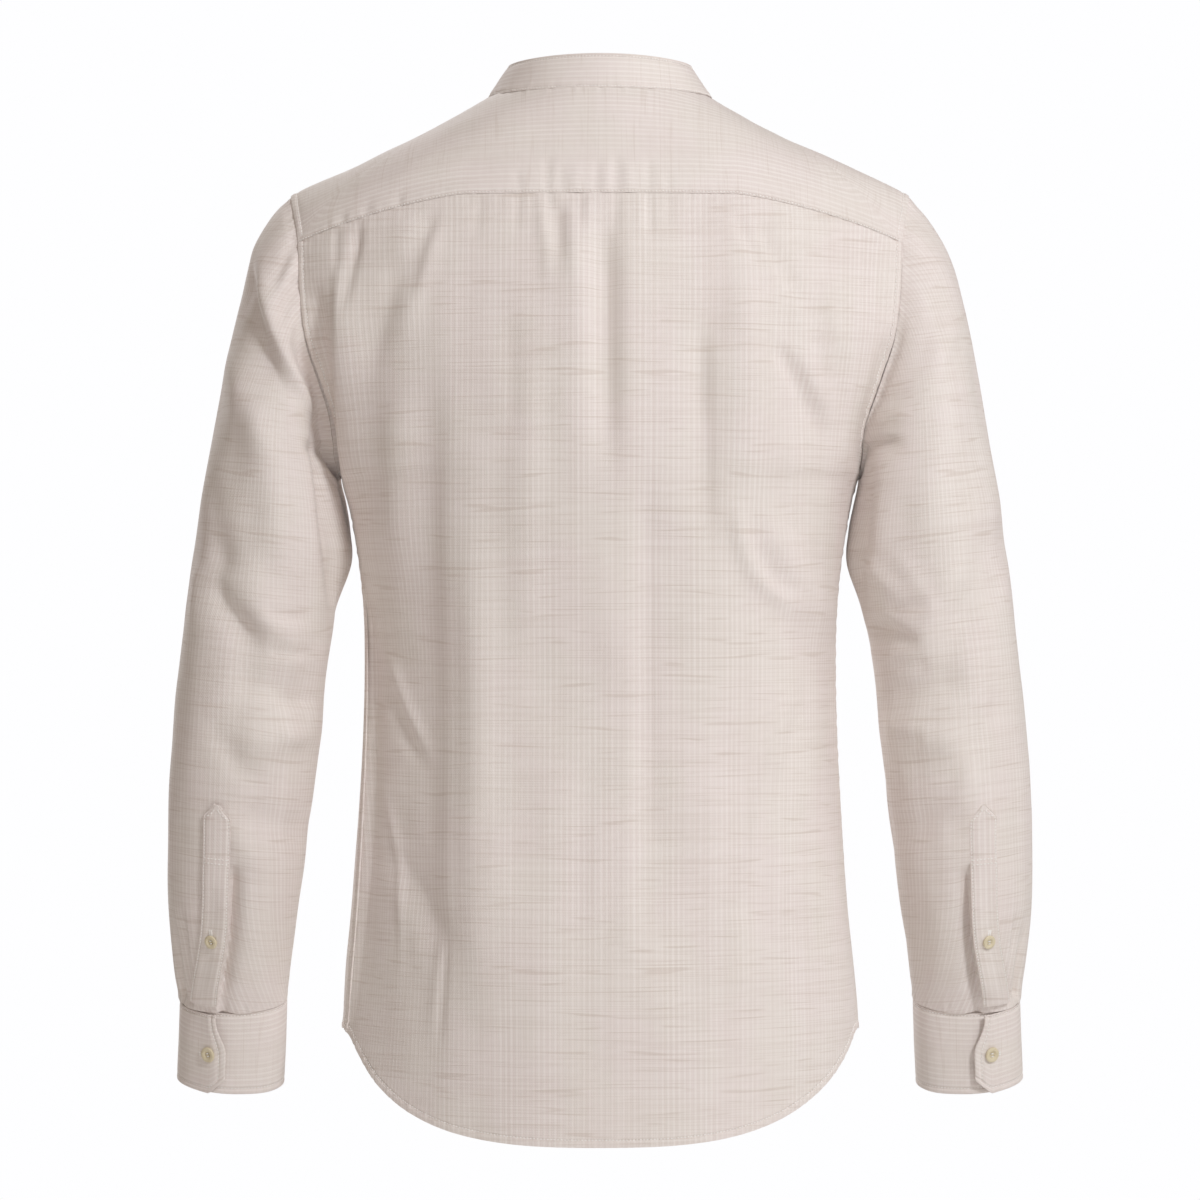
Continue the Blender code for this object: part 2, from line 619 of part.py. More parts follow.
def add_wall(name, shape, down, across, code, facing=1, closed=False, mirror=False):
    """A cloth piece: its shape on a grid as the outer surface, and a wall on the inside. facing is
    1 where growing across times growing down points out of the shirt, and -1 where it points in.
    A mirrored piece is the left one's image on the wearer's right."""
    outer = shape(down, across)
    normals = surface_normals(shape, down, across) * facing
    points = np.concatenate([outer.reshape(-1, 3), (outer - WALL * normals).reshape(-1, 3)])
    faces = wall_faces(*down.shape, closed).tolist()
    add_object(name, points, faces, code, CLOTH_ROUGHNESS, facing < 0, mirror)


def grid(down, across):
    return np.meshgrid(down, across, indexing="ij")


def panel_downs(on_back):
    """Rows of a body panel: even steps to the underarm, where one row lies, and on to the hem."""
    top = YOKE_SEAM_END if on_back else FRONT_CORNER
    underarm = (UNDERARM - top) / (HEM_SIDE - top)
    above = np.linspace(0, underarm, ARMHOLE_ROWS + 1)
    return np.concatenate([above, np.linspace(underarm, 1, BODY_ROWS + 1)[1:]])


def half_back():
    return np.linspace(0, 1, BACK_COLUMNS + 1)


def half_yoke():
    """Columns of half the yoke: those of the back, and then those over the shoulder."""
    over = np.linspace(YOKE_BACK_SHARE, 1, SHOULDER_COLUMNS + 1)
    return np.concatenate([half_back() * YOKE_BACK_SHARE, over[1:]])


def sleeve_arounds():
    """Columns of a sleeve, which start at the points where the body's rows and columns end."""
    corner_turns = YOKE_BACK_CORNER_TURN - YOKE_FRONT_CORNER_TURN
    over = YOKE_FRONT_CORNER_TURN + corner_turns * np.linspace(0, 1, SHOULDER_COLUMNS + 1)
    sides = []
    for on_back in (True, False):
        heights = panel_rows(panel_downs(on_back)[:ARMHOLE_ROWS + 1], on_back)[0]
        sides.append(armhole_turns(heights, on_back))
    return np.concatenate([over[:-1], sides[0][:-1], sides[1][:0:-1]]) / 360


def add_back():
    down, across = grid(panel_downs(True), half_back() * SIDE_SHARE)
    down[0] = SEAM_INSET
    across = np.concatenate([-across[:, :0:-1], across], axis=1)
    down = np.concatenate([down[:, :0:-1], down], axis=1)
    add_wall("back", back, down, across, CLOTH)


def add_yoke():
    half = half_yoke()
    half[-1] = SIDE_SHARE
    outs = np.linspace(0, 1, YOKE_ROWS + 1)
    outs[-1] = YOKE_OUTER_SHARE
    add_wall("yoke", yoke, *grid(outs, np.concatenate([-half[:0:-1], half])), CROSS_CLOTH)


def add_fronts():
    """The left front, the button stand and the right front, each between two places across. Their
    columns meet the yoke's front seam where the yoke's rows do."""
    downs = panel_downs(False)
    downs[0] = 2 * SEAM_INSET
    half_stand = STAND_WIDTH / 2
    neck_end = front_neck_share()
    seam = neck_end + (1 - neck_end) * np.linspace(0, 1, YOKE_ROWS + 1)
    seam[-1] = SIDE_SHARE
    stand = front_across(downs, half_stand)[:, None]
    stand_shares = np.linspace(-1, 1, STAND_COLUMNS + 1)
    left_start = front_across(downs, half_stand + SEAM_GAP)[:, None]
    under = front_across(downs, UNDERLAP)[:, None]
    inner = np.linspace(0, 1, NECK_COLUMNS + 1)[:-1]
    outer = np.repeat(seam[None, :], len(downs), axis=0)
    left = np.concatenate([left_start + (neck_end - left_start) * inner, outer], axis=1)
    right = np.concatenate([-outer[:, ::-1], -neck_end + (under + neck_end) * (1 - inner[::-1])],
                           axis=1)
    for name, shape, across in (("front_left", front, left), ("front_right", right_front, right),
                                ("front_placket", front, stand * stand_shares)):
        down = np.repeat(downs[:, None], across.shape[1], axis=1)
        add_wall(name, shape, down, across, CLOTH, facing=-1)


def add_collar():
    straight = np.linspace(0, BAND_CORNER_SHARES[0], BAND_COLUMNS + 1)
    half = np.concatenate([straight, BAND_CORNER_SHARES[1:]])
    downs = np.linspace(0, 1, BAND_ROWS + 1)
    down, around = grid(downs, np.concatenate([-half[:0:-1], half]))
    add_wall("collar_band", collar_band, down, around, CROSS_CLOTH)


def add_sleeves():
    """Both sleeves with their slit plackets and cuffs, the right ones mirrored."""
    sleeve_grid = grid(np.linspace(SLEEVE_INSET, 1, SLEEVE_ROWS + 1), sleeve_arounds())
    straight = np.linspace(2 * PLACKET_POINT_SHARES[-1], 1, PLACKET_ROWS + 1)
    placket_downs = np.concatenate([PLACKET_POINT_SHARES, straight])
    placket_grid = grid(placket_downs, np.linspace(-1, 1, STAND_COLUMNS + 1))
    cuff_columns = round((360 + CUFF_LAP) / CUFF_STEP) + 1
    cuff_grid = grid(np.linspace(0, 1, CUFF_ROWS + 1), np.linspace(0, 1, cuff_columns))
    for side in ("left", "right"):
        mirror = side == "right"
        add_wall(f"sleeve_{side}", sleeve, *sleeve_grid, CLOTH, -1, True, mirror)
        add_wall(f"sleeve_placket_{side}", sleeve_placket, *placket_grid, CLOTH, -1, False, mirror)
        add_wall(f"cuff_{side}", cuff, *cuff_grid, CROSS_CLOTH, -1, False, mirror)
        add_button(f"placket_button_{side}", sleeve_placket, PLACKET_BUTTON_SEAT,
                   PLACKET_BUTTON, mirror)
        add_button(f"cuff_button_{side}", cuff, CUFF_BUTTON_SEAT, CUFF_BUTTON, mirror)


def add_button(name, shape, seat, diameter, mirror=False):
    """A turned button on a piece: rings of a profile with a flat back, a round rim and a dished
    face, and a pole at each side."""
    down, across = (np.array(share, float) for share in seat)
    centre = shape(down, across)
    normal = -surface_normals(shape, down, across)
    spin = np.linspace(0, 2 * np.pi, BUTTON_SIDES, endpoint=False)[:, None]
    side = unit(np.cross(normal, np.array([0, 0, 1])))
    circle = np.cos(spin) * side + np.sin(spin) * np.cross(side, normal)
    rings = [centre + normal * (height + SEAM_GAP) + circle * (diameter / 2 - inset)
             for inset, height in BUTTON_PROFILE]
    poles = [centre + normal * SEAM_GAP, centre + normal * (BUTTON_FACE + SEAM_GAP)]
    points = np.concatenate([*rings, poles])
    faces = button_faces(len(BUTTON_PROFILE))
    add_object(name, points, faces, BUTTON, BUTTON_ROUGHNESS, mirror=mirror)


def button_faces(rings):
    """Quads between the rings, and a fan of triangles at each pole."""
    number = np.arange(rings * BUTTON_SIDES).reshape(rings, BUTTON_SIDES)
    number = np.concatenate([number, number[:, :1]], axis=1)
    back_pole = np.full(BUTTON_SIDES, rings * BUTTON_SIDES)
    corners = [number[:-1, 1:], number[:-1, :-1], number[1:, :-1], number[1:, 1:]]
    sides = np.stack(corners, axis=-1).reshape(-1, 4)
    back_fan = np.stack([back_pole, number[0, :-1], number[0, 1:]], axis=-1)
    face_fan = np.stack([back_pole + 1, number[-1, 1:], number[-1, :-1]], axis=-1)
    return sides.tolist() + back_fan.tolist() + face_fan.tolist()


def add_front_buttons():
    """A row of buttons, evenly spaced down the button stand."""
    for place, down in enumerate(np.linspace(*FRONT_BUTTON_SPAN, FRONT_BUTTONS), 1):
        add_button(f"front_button_{place}", front, (down, 0.0), CUFF_BUTTON)


def main():
    for thing in list(bpy.data.objects):
        bpy.data.objects.remove(thing)
    add_back()
    add_yoke()
    add_fronts()
    add_collar()
    add_sleeves()
    add_front_buttons()


main()
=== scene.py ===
"""Mandarin collar shirt: fine cloth with folds, seams, topstitching, buttonholes and buttons.

Sizes are in millimetres and become metres when a mesh is made. The stage and the flat sizes that the
sheets state are in metres. +Z is up and the front faces -Y, so +X is the wearer's left. Every cloth
piece is a surface of two shares, one down and one across or around, worked out on a grid and given a
thin wall on its inside.
"""

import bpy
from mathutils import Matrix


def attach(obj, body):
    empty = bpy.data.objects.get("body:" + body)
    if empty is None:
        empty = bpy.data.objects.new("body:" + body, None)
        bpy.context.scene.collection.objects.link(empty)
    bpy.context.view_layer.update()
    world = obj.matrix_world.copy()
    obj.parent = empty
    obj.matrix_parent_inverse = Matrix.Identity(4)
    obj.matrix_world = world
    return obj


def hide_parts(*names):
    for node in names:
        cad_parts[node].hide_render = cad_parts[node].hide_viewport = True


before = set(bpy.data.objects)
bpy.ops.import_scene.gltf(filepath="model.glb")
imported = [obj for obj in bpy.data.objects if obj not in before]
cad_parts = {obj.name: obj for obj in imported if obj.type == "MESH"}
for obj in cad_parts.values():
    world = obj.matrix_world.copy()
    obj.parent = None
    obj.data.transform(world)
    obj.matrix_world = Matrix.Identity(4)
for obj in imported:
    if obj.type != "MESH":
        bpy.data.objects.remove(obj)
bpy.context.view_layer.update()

import functools
import math
from collections import namedtuple

import bpy
import numpy as np
from bpy.props import FloatProperty, FloatVectorProperty, PointerProperty

bl_info = {
    "name": "Mandarin collar shirt",
    "version": (1, 0, 0),
    "blender": (4, 5, 0),
    "location": "3D View > Sidebar > Shirt",
    "description": "Dresses the solids of a mandarin collar shirt in striped cloth with its sewing",
    "category": "Add Mesh",
}


def rows_of(kind, rows):
    """A table: each row's numbers under the names of its kind's fields."""
    return tuple(kind(*row) for row in rows)


MM = 0.001
WALL = 1.0
SEAM_GAP = 0.3
JOIN_GAP = 0.03
LAYER = 1.5

# Neck and collar band
NECK_HALF_WIDTH = 81.0
NECK_CENTRE_Y = -7.0
NECK_HALF_DEPTH = 65.0
NECK_HEIGHT = 1.5
NECK_DROP = 60.0
BAND_TOP_HALF_WIDTH = 66.0
BAND_TOP_CENTRE_Y = -5.0
BAND_TOP_HALF_DEPTH = 55.0
BAND_TOP_HEIGHT = 24.5
BAND_BACK_RISE = 3.0
BAND_TOP_DROP = 57.0
BAND_CORNER = 11.0
BAND_END_GAP = 1.0
BAND_SEAT = 0.3
BAND_HEIGHT = 29.0

# Yoke: the turns in degrees of its front seams about the neck and of its corners about the armhole,
# where the back seam ends and how it bends, how the yoke slopes, how far its corners are evened out,
# and normals along its edge
YOKE_NECK_TURN = 118.0
YOKE_BACK_CORNER_TURN = 54.0
YOKE_FRONT_CORNER_TURN = -42.0
YOKE_BACK_SHARE = 0.68
YOKE_SEAM_FLAT_SHARE = 0.4
YOKE_SEAM_CURVE = 1.25
YOKE_SLOPE_AT_SIDE = 0.62
YOKE_SLOPE_MORE_AT_NAPE = 0.33
CORNER_REACH = 0.06
SHOULDER_TIP_NORMAL = (0.62, 0.0, 0.785)
FRONT_CORNER_NORMAL = (0.55, -0.62, 0.56)

# Heights of the body's edges, and the powers of the hem's double curve
YOKE_SEAM_CENTRE = -76.0
YOKE_SEAM_END = -106.0
UNDERARM = -272.0
FRONT_CORNER = -98.0
HEM_SIDE = -667.0
HEM_BACK = -738.0
HEM_FRONT = -716.0
HEM_CURVE = 2.9
HEM_FLARE = 1.45

# Spread of a body panel: the angle of its cross arc from the centre to the edge, and how far the side
# seam lies behind the widest line, both in degrees. Then the share down over which the lift of the
# fronts' top edge fades
SPREAD_AT_YOKE = 50.0
SPREAD_AT_UNDERARM = 90.0
SEAM_TURN_AT_HEM = 9.0
NECK_FADE = 0.22

# Button stand, and how far the right front reaches under it and dips over which width
STAND_WIDTH = 34.0
UNDERLAP = 15.0
UNDERLAP_DIP = LAYER + 0.6
DIP_WIDTH = 12.0

# Cuffs and sleeve slits, on the wearer's left; the right side is mirrored. Turns in degrees run
# from the outer side by the back, and the over end of a cuff lies on its back
CUFF_TOP = (267.5, -41.0, -651.5)
CUFF_FOOT = (270.5, -54.3, -711.2)
CUFF_HALF_WIDTH = 39.2
CUFF_HALF_DEPTH = 35.0
CUFF_TILT = 13.0
CUFF_ROLL = 3.3
CUFF_OVER_END = 88.0
CUFF_LAP = 45.0
CUFF_DIP = LAYER + 0.9
CUFF_MITRE = 12.0
CUFF_RISE = (14.0, 54.0)
CUFF_HEIGHT = 61.0
SLIT_WIDTH = 20.0
SLIT_POINT = 10.0
SLIT_BLUNT = 0.08
SLIT_START_SHARE = 0.5
SLIT_LENGTH = 148.0
PLACKET_LIFT = LAYER + 0.5

# Buttons, and each seat as shares down and across or around the piece that carries it
CUFF_BUTTON = 11.3
PLACKET_BUTTON = 10.0
CUFF_BUTTON_SEAT = (0.5, 0.957)
PLACKET_BUTTON_SEAT = (0.667, 0.0)
FRONT_BUTTONS = 7
FRONT_BUTTON_SPAN = (0.085, 0.82)

# Shares that keep a piece's edge inside its seam, as the gap over the piece's length or width; a
# small step along a share; the turn between faces, in degrees, that shows as an edge; and the
# number of steps in which a curve is searched
SEAM_INSET = JOIN_GAP / 600
SIDE_SHARE = 1 - JOIN_GAP / 240
YOKE_OUTER_SHARE = 1 - JOIN_GAP / 100
SLEEVE_INSET = JOIN_GAP / 550
REACH = 0.001
SHARP_TURN = 55.0
LOOKUP_STEPS = 400

Depth = namedtuple("Depth", "height y")
BACK_CENTRE = rows_of(Depth, (
    (-60, 88), (-76, 95), (-120, 110), (-180, 119), (-260, 116), (-340, 104), (-430, 97),
    (-520, 105), (-600, 117), (-740, 126),
))
FRONT_CENTRE = rows_of(Depth, (
    (-57, -71.5), (-90, -86), (-140, -102), (-200, -112), (-260, -114), (-340, -107), (-430, -101),
    (-520, -104), (-620, -110), (-720, -113),
))

Side = namedtuple("Side", "height half_width y")
SIDES = rows_of(Side, (
    (-272, 186, -3), (-288, 181.5, -3), (-306, 178, -3), (-331, 174, -3), (-365, 170.5, -2),
    (-410, 169.5, -1), (-455, 170.5, 0), (-504, 173, 1), (-576, 178, 2), (-648, 184, 3),
    (-680, 185.5, 3),
))

# The left armhole's seam, once round: 0 at the shoulder tip, 90 at the back, 180 under the arm
Hole = namedtuple("Hole", "turn x y z")
ARMHOLE = rows_of(Hole, (
    (0, 222, 0, -70), (28, 219, 22, -84), (54, 214.5, 38, -106), (73, 213, 44, -138),
    (90, 209.5, 45, -170), (109, 200, 38, -201), (135, 189, 24, -236), (158, 186.5, 10, -261),
    (180, 186, -3, -272), (202, 185, -21, -264), (222, 184, -38, -244), (252, 187, -56, -203),
    (276, 197, -58, -162), (298, 207, -52, -126), (318, 213.5, -40, -98), (340, 219, -22, -80),
    (360, 222, 0, -70),
))

# Rings of the left sleeve: outer and inner point as seen from behind, half depth and middle in y,
# and how far the ring tips towards its back, in degrees
Ring = namedtuple("Ring", "outer_x outer_z inner_x inner_z half_depth y tip")
SLEEVE = rows_of(Ring, (
    (222, -70, 186, -272, 51, -7, 0), (237, -86, 187, -276, 56, -6, 0),
    (251, -110, 185.2, -283, 59, -4, 0), (261.5, -144, 182, -295, 61, -2, 0),
    (270, -183, 179.3, -311, 62, 0, 0), (279, -233, 178.5, -334, 62, 1, 0),
    (288.5, -295, 188, -367, 60, 2, 0), (297, -362, 196, -407, 57, 2, 1),
    (304.5, -432, 201, -456, 54, 0, 3), (311, -504, 208.5, -514, 51, -6, 6),
    (313, -572, 219, -578, 48, -18, 9), (310, -621, 226, -624, 42, -31, 12),
    (306.6, -650.8, 228.4, -650.8, 35, -41, 13),
))

# Share down over which the armhole's own curve fades into the sleeve's rings, and its power
CAP_FADE = 0.33
CAP_FADE_POWER = 1.5

# Large folds, as seen from behind: from a top point to an end point, with the half width of the
# bell across and its depth, in or out. A fold fades in and out over shares of its length, and on a
# sleeve it also fades towards the seams and where the sleeve turns from back to front
FOLD_START = (-0.12, 0.3)
FOLD_END = (0.6, 1.12)
SLEEVE_FOLDS_START = (0.0, 0.12)
SLEEVE_FOLDS_END = (0.97, 1.0)
BEHIND = (-0.2, 0.4)
Fold = namedtuple("Fold", "x z x_end z_end half_width depth")
BACK_FOLDS = rows_of(Fold, (
    (-4, -84, -7, -260, 11, -6.0), (15, -90, 16, -300, 15, 2.0), (112, -210, 120, -620, 20, -1.2),
    (88, -220, 88, -600, 16, 1.6), (140, -200, 144, -350, 15, 2.6),
    (-76, -150, -82, -330, 17, -3.5), (-102, -90, -100, -360, 18, 4.0),
    (-38, -250, -44, -660, 20, -3.0), (160, -500, 98, -630, 17, -1.2),
    (168, -570, 122, -690, 15, 1.0), (-110, -300, -166, -385, 15, 4.5),
    (-122, -150, -150, -270, 14, -4.0),
))
FRONT_FOLDS = rows_of(Fold, (
    (176, -150, 116, -255, 15, -5.0), (-176, -150, -116, -255, 15, -5.0),
    (112, -110, 98, -430, 19, 4.0), (-106, -120, -94, -410, 19, 4.0),
    (66, -290, 74, -660, 18, -5.0), (-70, -270, -66, -640, 18, -5.0),
    (152, -320, 116, -580, 17, -5.0), (-154, -340, -122, -610, 17, -5.0),
))
SLEEVE_BACK_FOLDS = rows_of(Fold, (
    (246, -200, 222, -350, 14, 3.6), (286, -150, 262, -300, 15, -3.0),
    (284, -300, 240, -410, 16, -5.5), (262, -330, 204, -410, 14, 5.0),
    (260, -416, 200, -430, 12, -4.5), (258, -462, 198, -452, 12, 4.5),
    (256, -508, 206, -532, 13, -4.0),
))
SLEEVE_FRONT_FOLDS = rows_of(Fold, (
    (250, -140, 206, -300, 16, -5.5), (288, -330, 212, -392, 14, 5.0),
    (294, -376, 206, -408, 13, -6.0), (300, -432, 204, -430, 14, 5.5),
    (302, -468, 208, -456, 12, -5.5), (304, -524, 216, -490, 13, 4.0),
))

# Pleats that take the sleeve into its cuff: turn, half width in degrees, depth, height they rise to.
# They get shallower just before the cuff
PLEAT_FADE = 60.0
PLEAT_CALM = 0.8
PLEAT_CALM_START = 0.965
Pleat = namedtuple("Pleat", "turn half_width depth top")
PLEATS = rows_of(Pleat, ((24, 6.5, -4.5, -575), (338, 6.5, -4.5, -585)))

# The slit's middle line on the sleeve, from the placket's point down to the cuff
Slit = namedtuple("Slit", "height turn")
SLIT = rows_of(Slit, ((-505, 76), (-548, 78.5), (-605, 77.5), (-632, 70), (-652, 62)))

# Fine creases, as seen from behind: from one point to another on an arc that bulges by bend, with
# half widths towards +x and towards -x of a downward line, and the depth, in or out. A crease
# fades in and out over shares of its length
CREASE_START = (0.0, 0.25)
CREASE_END = (0.62, 1.0)
Crease = namedtuple("Crease", "x z x_end z_end bend plus_width minus_width depth")
BACK_CREASES = rows_of(Crease, (
    (-2, -90, -6, -270, 1, 9, 5, -3.0), (-16, -86, -18, -300, 1, 5, 11, 1.6),
    (29, -80, 27, -128, 1, 5, 4, -2.6), (36, -80, 36, -150, 1, 5, 5, 1.4),
    (20, -80, 18, -150, 0, 5, 6, 1.4), (115, -82, 135, -158, 1, 9, 5, -3.2),
    (136, -112, 164, -216, 2, 10, 8, -2.8), (112, -90, 138, -190, 3, 8, 8, 2.2),
    (168, -92, 180, -168, 1, 5, 4, -2.6), (182, -116, 178, -310, 2, 5, 14, 7.0),
    (202, -130, 187, -282, 2, 8, 6, -6.5), (104, -140, 102, -760, 0, 12, 60, 5.0),
    (86, -290, 82, -680, 0, 12, 26, 3.6), (110, -190, 116, -430, 1, 22, 9, -1.4),
    (143, -215, 138, -350, 2, 9, 12, 1.6), (162, -300, 164, -760, 0, 22, 50, -10.0),
    (136, -370, 138, -590, 2, 16, 24, -2.0), (160, -395, 117, -478, 3, 4, 5, 2.4),
    (166, -405, 124, -486, 3, 6, 5, -1.8), (152, -486, 96, -590, -2, 9, 17, 0.7),
    (166, -525, 94, -612, -2, 16, 7, -1.8), (165, -545, 122, -640, -6, 8, 10, 0.9),
    (165, -485, 146, -640, -7, 3, 4, 1.4), (106, -590, 113, -680, 1, 3, 3, -1.4),
    (112, -590, 120, -676, 1, 4, 3, 0.9), (-34, -240, -38, -570, 2, 9, 6, -1.6),
    (64, -300, 68, -560, 3, 8, 10, -0.8), (46, -180, 50, -420, 3, 10, 9, 1.3),
    (62, -150, 58, -262, 1, 6, 6, -1.0), (-71, -165, -74, -252, 1, 7, 4, -1.8),
    (-82, -160, -85, -340, 2, 4, 13, 2.4), (-93, -86, -117, -134, 2, 4, 6, -1.8),
    (-106, -88, -149, -160, 4, 4, 7, -2.2), (-112, -176, -158, -254, -5, 5, 7, -2.2),
    (-120, -168, -166, -246, -5, 5, 9, 2.4), (-95, -284, -152, -375, 20, 5, 10, 2.8),
    (-105, -284, -154, -364, 18, 5, 9, -2.2), (-141, -410, -100, -578, 5, 6, 9, 1.8),
    (-150, -412, -112, -570, 5, 9, 6, -1.2), (-98, -575, -96, -645, 0, 14, 12, 2.0),
    (-20, -420, -22, -640, 2, 9, 10, 1.2), (-146, -140, -168, -230, 4, 6, 7, -1.8),
    (-158, -120, -176, -200, 4, 5, 7, 1.8), (-206, -165, -182, -272, 0, 4, 6, -3.0),
    (8, -440, 14, -680, 2, 12, 10, -1.2), (-132, -420, -124, -610, 3, 8, 8, 1.2),
))
BACK_GATHERS = rows_of(Crease, (
    (57, -70, 58, -108, 0, 3.0, 3.0, -1.0), (41, -68, 41, -116, 0, 2.8, 3.0, 1.2),
    (36, -68, 35, -112, 0, 2.6, 2.8, -1.3), (14, -66, 14, -104, 0, 2.6, 2.8, -1.0),
    (8, -66, 8, -116, 0, 2.4, 2.6, 0.9), (-11, -66, -12, -110, 0, 2.8, 2.6, -1.4),
    (-27, -68, -28, -108, 0, 2.6, 2.8, 1.0), (-34, -68, -35, -116, 0, 2.6, 2.8, -1.3),
    (-47, -68, -48, -104, 0, 2.8, 2.6, -0.9), (84, -72, 87, -112, 0, 3.0, 3.0, -0.9),
    (170, -88, 172, -126, 0, 3.0, 2.6, -1.3), (186, -94, 186, -132, 0, 2.6, 3.0, -1.3),
))
YOKE_GATHERS = rows_of(Crease, (
    (57, -84, 58, -54, 0, 3.0, 3.0, -0.9), (37, -84, 36, -44, 0, 3.0, 3.4, -1.4),
    (27, -84, 27, -52, 0, 2.6, 3.0, -1.0), (16, -84, 17, -50, 0, 2.6, 2.6, 0.8),
    (2, -84, 2, -48, 0, 2.8, 2.8, -1.2), (-11, -84, -12, -42, 0, 3.0, 2.8, -1.4),
    (-20, -84, -20, -50, 0, 2.6, 2.8, 0.9), (-34, -84, -35, -46, 0, 2.8, 3.0, -1.2),
    (-47, -84, -48, -56, 0, 2.6, 2.6, -0.8), (144, -100, 140, -68, 0, 3.0, 3.4, -1.1),
    (167, -106, 163, -74, 0, 3.0, 3.4, -1.3), (184, -110, 181, -82, 0, 3.0, 3.0, -1.3),
))
FRONT_CREASES = rows_of(Crease, (
    (150, -130, 96, -250, -6, 7, 9, 3.6), (-150, -130, -98, -246, 6, 9, 7, 3.6),
    (58, -330, 66, -620, 3, 6, 12, 3.6), (-60, -320, -58, -600, 3, 12, 6, 3.6),
    (128, -300, 96, -560, 5, 7, 11, 3.4), (-132, -310, -100, -590, -5, 11, 7, 3.4),
    (40, -120, 44, -300, 2, 7, 8, -2.6), (-42, -110, -40, -310, 2, 8, 7, -2.6),
    (120, -470, 60, -640, -6, 6, 8, -3.4), (-118, -500, -56, -650, 6, 8, 6, -3.4),
    (172, -105, 146, -190, 4, 6, 8, -3.6), (-170, -108, -148, -196, -4, 8, 6, -3.6),
    (-200, -132, -182, -262, -3, 12, 10, -3.5), (200, -132, 182, -262, 3, 10, 12, -3.5),
))
LEFT_SLEEVE_CREASES = rows_of(Crease, (
    (256, -105, 214, -228, 8, 22, 8, -8.0), (246, -110, 165, -255, 18, 5, 9, 5.5),
    (214, -166, 176, -262, 4, 7, 9, -9.0), (212, -248, 174, -262, -1, 6, 5, -3.0),
    (198, -205, 178, -430, 0, 8, 20, -13.0), (276, -170, 222, -276, 3, 12, 10, 2.6),
    (213, -98, 233, -142, 1, 4, 3, -2.0), (212, -112, 237, -166, 1, 4, 4, 1.6),
    (211, -124, 231, -180, 1, 4, 3, -2.2), (206, -150, 220, -192, 1, 3, 3, -1.8),
    (276, -267, 258, -360, 4, 6, 9, -2.0), (269, -331, 222, -389, 6, 6, 9, 3.6),
    (275, -344, 226, -402, 6, 8, 6, -2.6), (287, -331, 287, -389, 1, 4, 6, 1.6),
    (300, -578, 294, -690, 0, 6, 2, -4.5), (240, -366, 200, -374, 2, 3, 5, -2.2),
    (236, -394, 198, -398, 2, 3, 6, -2.4), (232, -432, 196, -430, 2, 4, 6, -2.6),
    (228, -456, 200, -458, 2, 4, 6, 2.0), (280, -440, 226, -500, 7, 7, 9, -2.0),
    (270, -500, 232, -560, 5, 7, 7, 1.8),
))
RIGHT_SLEEVE_CREASES = rows_of(Crease, (
    (246, -130, 204, -226, 5, 5, 8, -1.0), (258, -146, 214, -236, 5, 6, 8, 1.8),
    (214, -160, 180, -262, -2, 5, 4, -4.0), (172, -262, 219, -248, 6, 3.5, 9, -4.2),
    (180, -238, 224, -231, 4, 9, 4, 1.5), (189, -245, 177, -420, 0, 7, 16, -8.0),
    (190, -374, 230, -392, -2, 5, 11, -6.5), (176, -326, 219, -366, 2, 7, 8, 3.0),
    (204, -322, 240, -386, 4, 6, 8, 1.8), (300, -578, 294, -690, 0, 6, 2, -4.5),
    (236, -362, 198, -366, 2, 3, 5, -2.0), (234, -406, 200, -404, 2, 3, 6, -2.4),
    (230, -458, 204, -460, 2, 4, 6, -2.4), (284, -300, 274, -380, 4, 6, 9, -1.6),
    (286, -420, 240, -480, 7, 7, 9, -2.0), (266, -470, 226, -540, 5, 7, 7, 1.8),
))

# Unevenness of worn cloth: wave lengths and heights; the number of sines to each, how far each is
# bent and over which multiple of its length; the share at which ways down count, which draws the
# waves out downwards; and the sleeves' share. Puckers beside a seam have sines of their own, given
# as multiples of the pitch and shares of the height
Wave = namedtuple("Wave", "length height")
RUMPLES = rows_of(Wave, ((150, 0.95), (72, 0.50), (34, 0.16)))
RUMPLE_WAVES = 5
RUMPLE_BEND = 1.3
RUMPLE_BEND_LENGTH = 1.7
RUMPLE_STRETCH = 0.5
SLEEVE_RUMPLE = 1.2
PUCKER_SINES = ((1.0, 1.0), (1.63, 0.7), (0.71, 0.5))

# Cloth lengths: down the back, a front and the yoke, down a sleeve, round its middle, armhole and
# foot, and along the collar band's half; the way along a sleeve; and the yoke's width in cloth
# over its width in space
BACK_LENGTH = 610.0
FRONT_LENGTH = 620.0
YOKE_LENGTH = 95.0
SLEEVE_LENGTH = 560.0
SLEEVE_GIRTH = 420.0
ARMHOLE_GIRTH = 470.0
SLEEVE_FOOT_GIRTH = 245.0
BAND_LENGTH = 230.0
SLEEVE_WAY = (0.107, 0.0, -0.994)
YOKE_STRETCH = 1.06

# Sewing: seam bands stand a little proud and their stitches lie in a groove
FELL_WIDTH = 5.8
FELL_STITCH = FELL_WIDTH - 0.8
FELL_RISE = 0.7
GROOVE = 0.85
GROOVE_HALF_WIDTH = 0.8
FELL_GROOVE = 1.3
HEM_WIDTH = 6.0
HEM_STITCH = HEM_WIDTH - 0.8
FRONT_HEM_LIFT = 10.0
FRONT_HEM_LIFT_PLACE = 50.0
FRONT_HEM_LIFT_REACH = 34.0
EDGE_STITCH = 1.7
BAND_TOP_STITCH = 2.2
CUFF_STITCH = 4.6
EDGE_ROUND = 0.4
STITCH_PITCH = 2.4
STITCH_LENGTH = 1.6
STITCH_RADIUS = 0.36
STITCH_SIDES = 6
STITCH_LIFT = 0.45
SATIN_PITCH = 0.5
SATIN_LENGTH = 1.3
SLOT_HALF_GAP = 0.75
BUTTONHOLE = 13.0
HOLE_SHIFT = 2.5
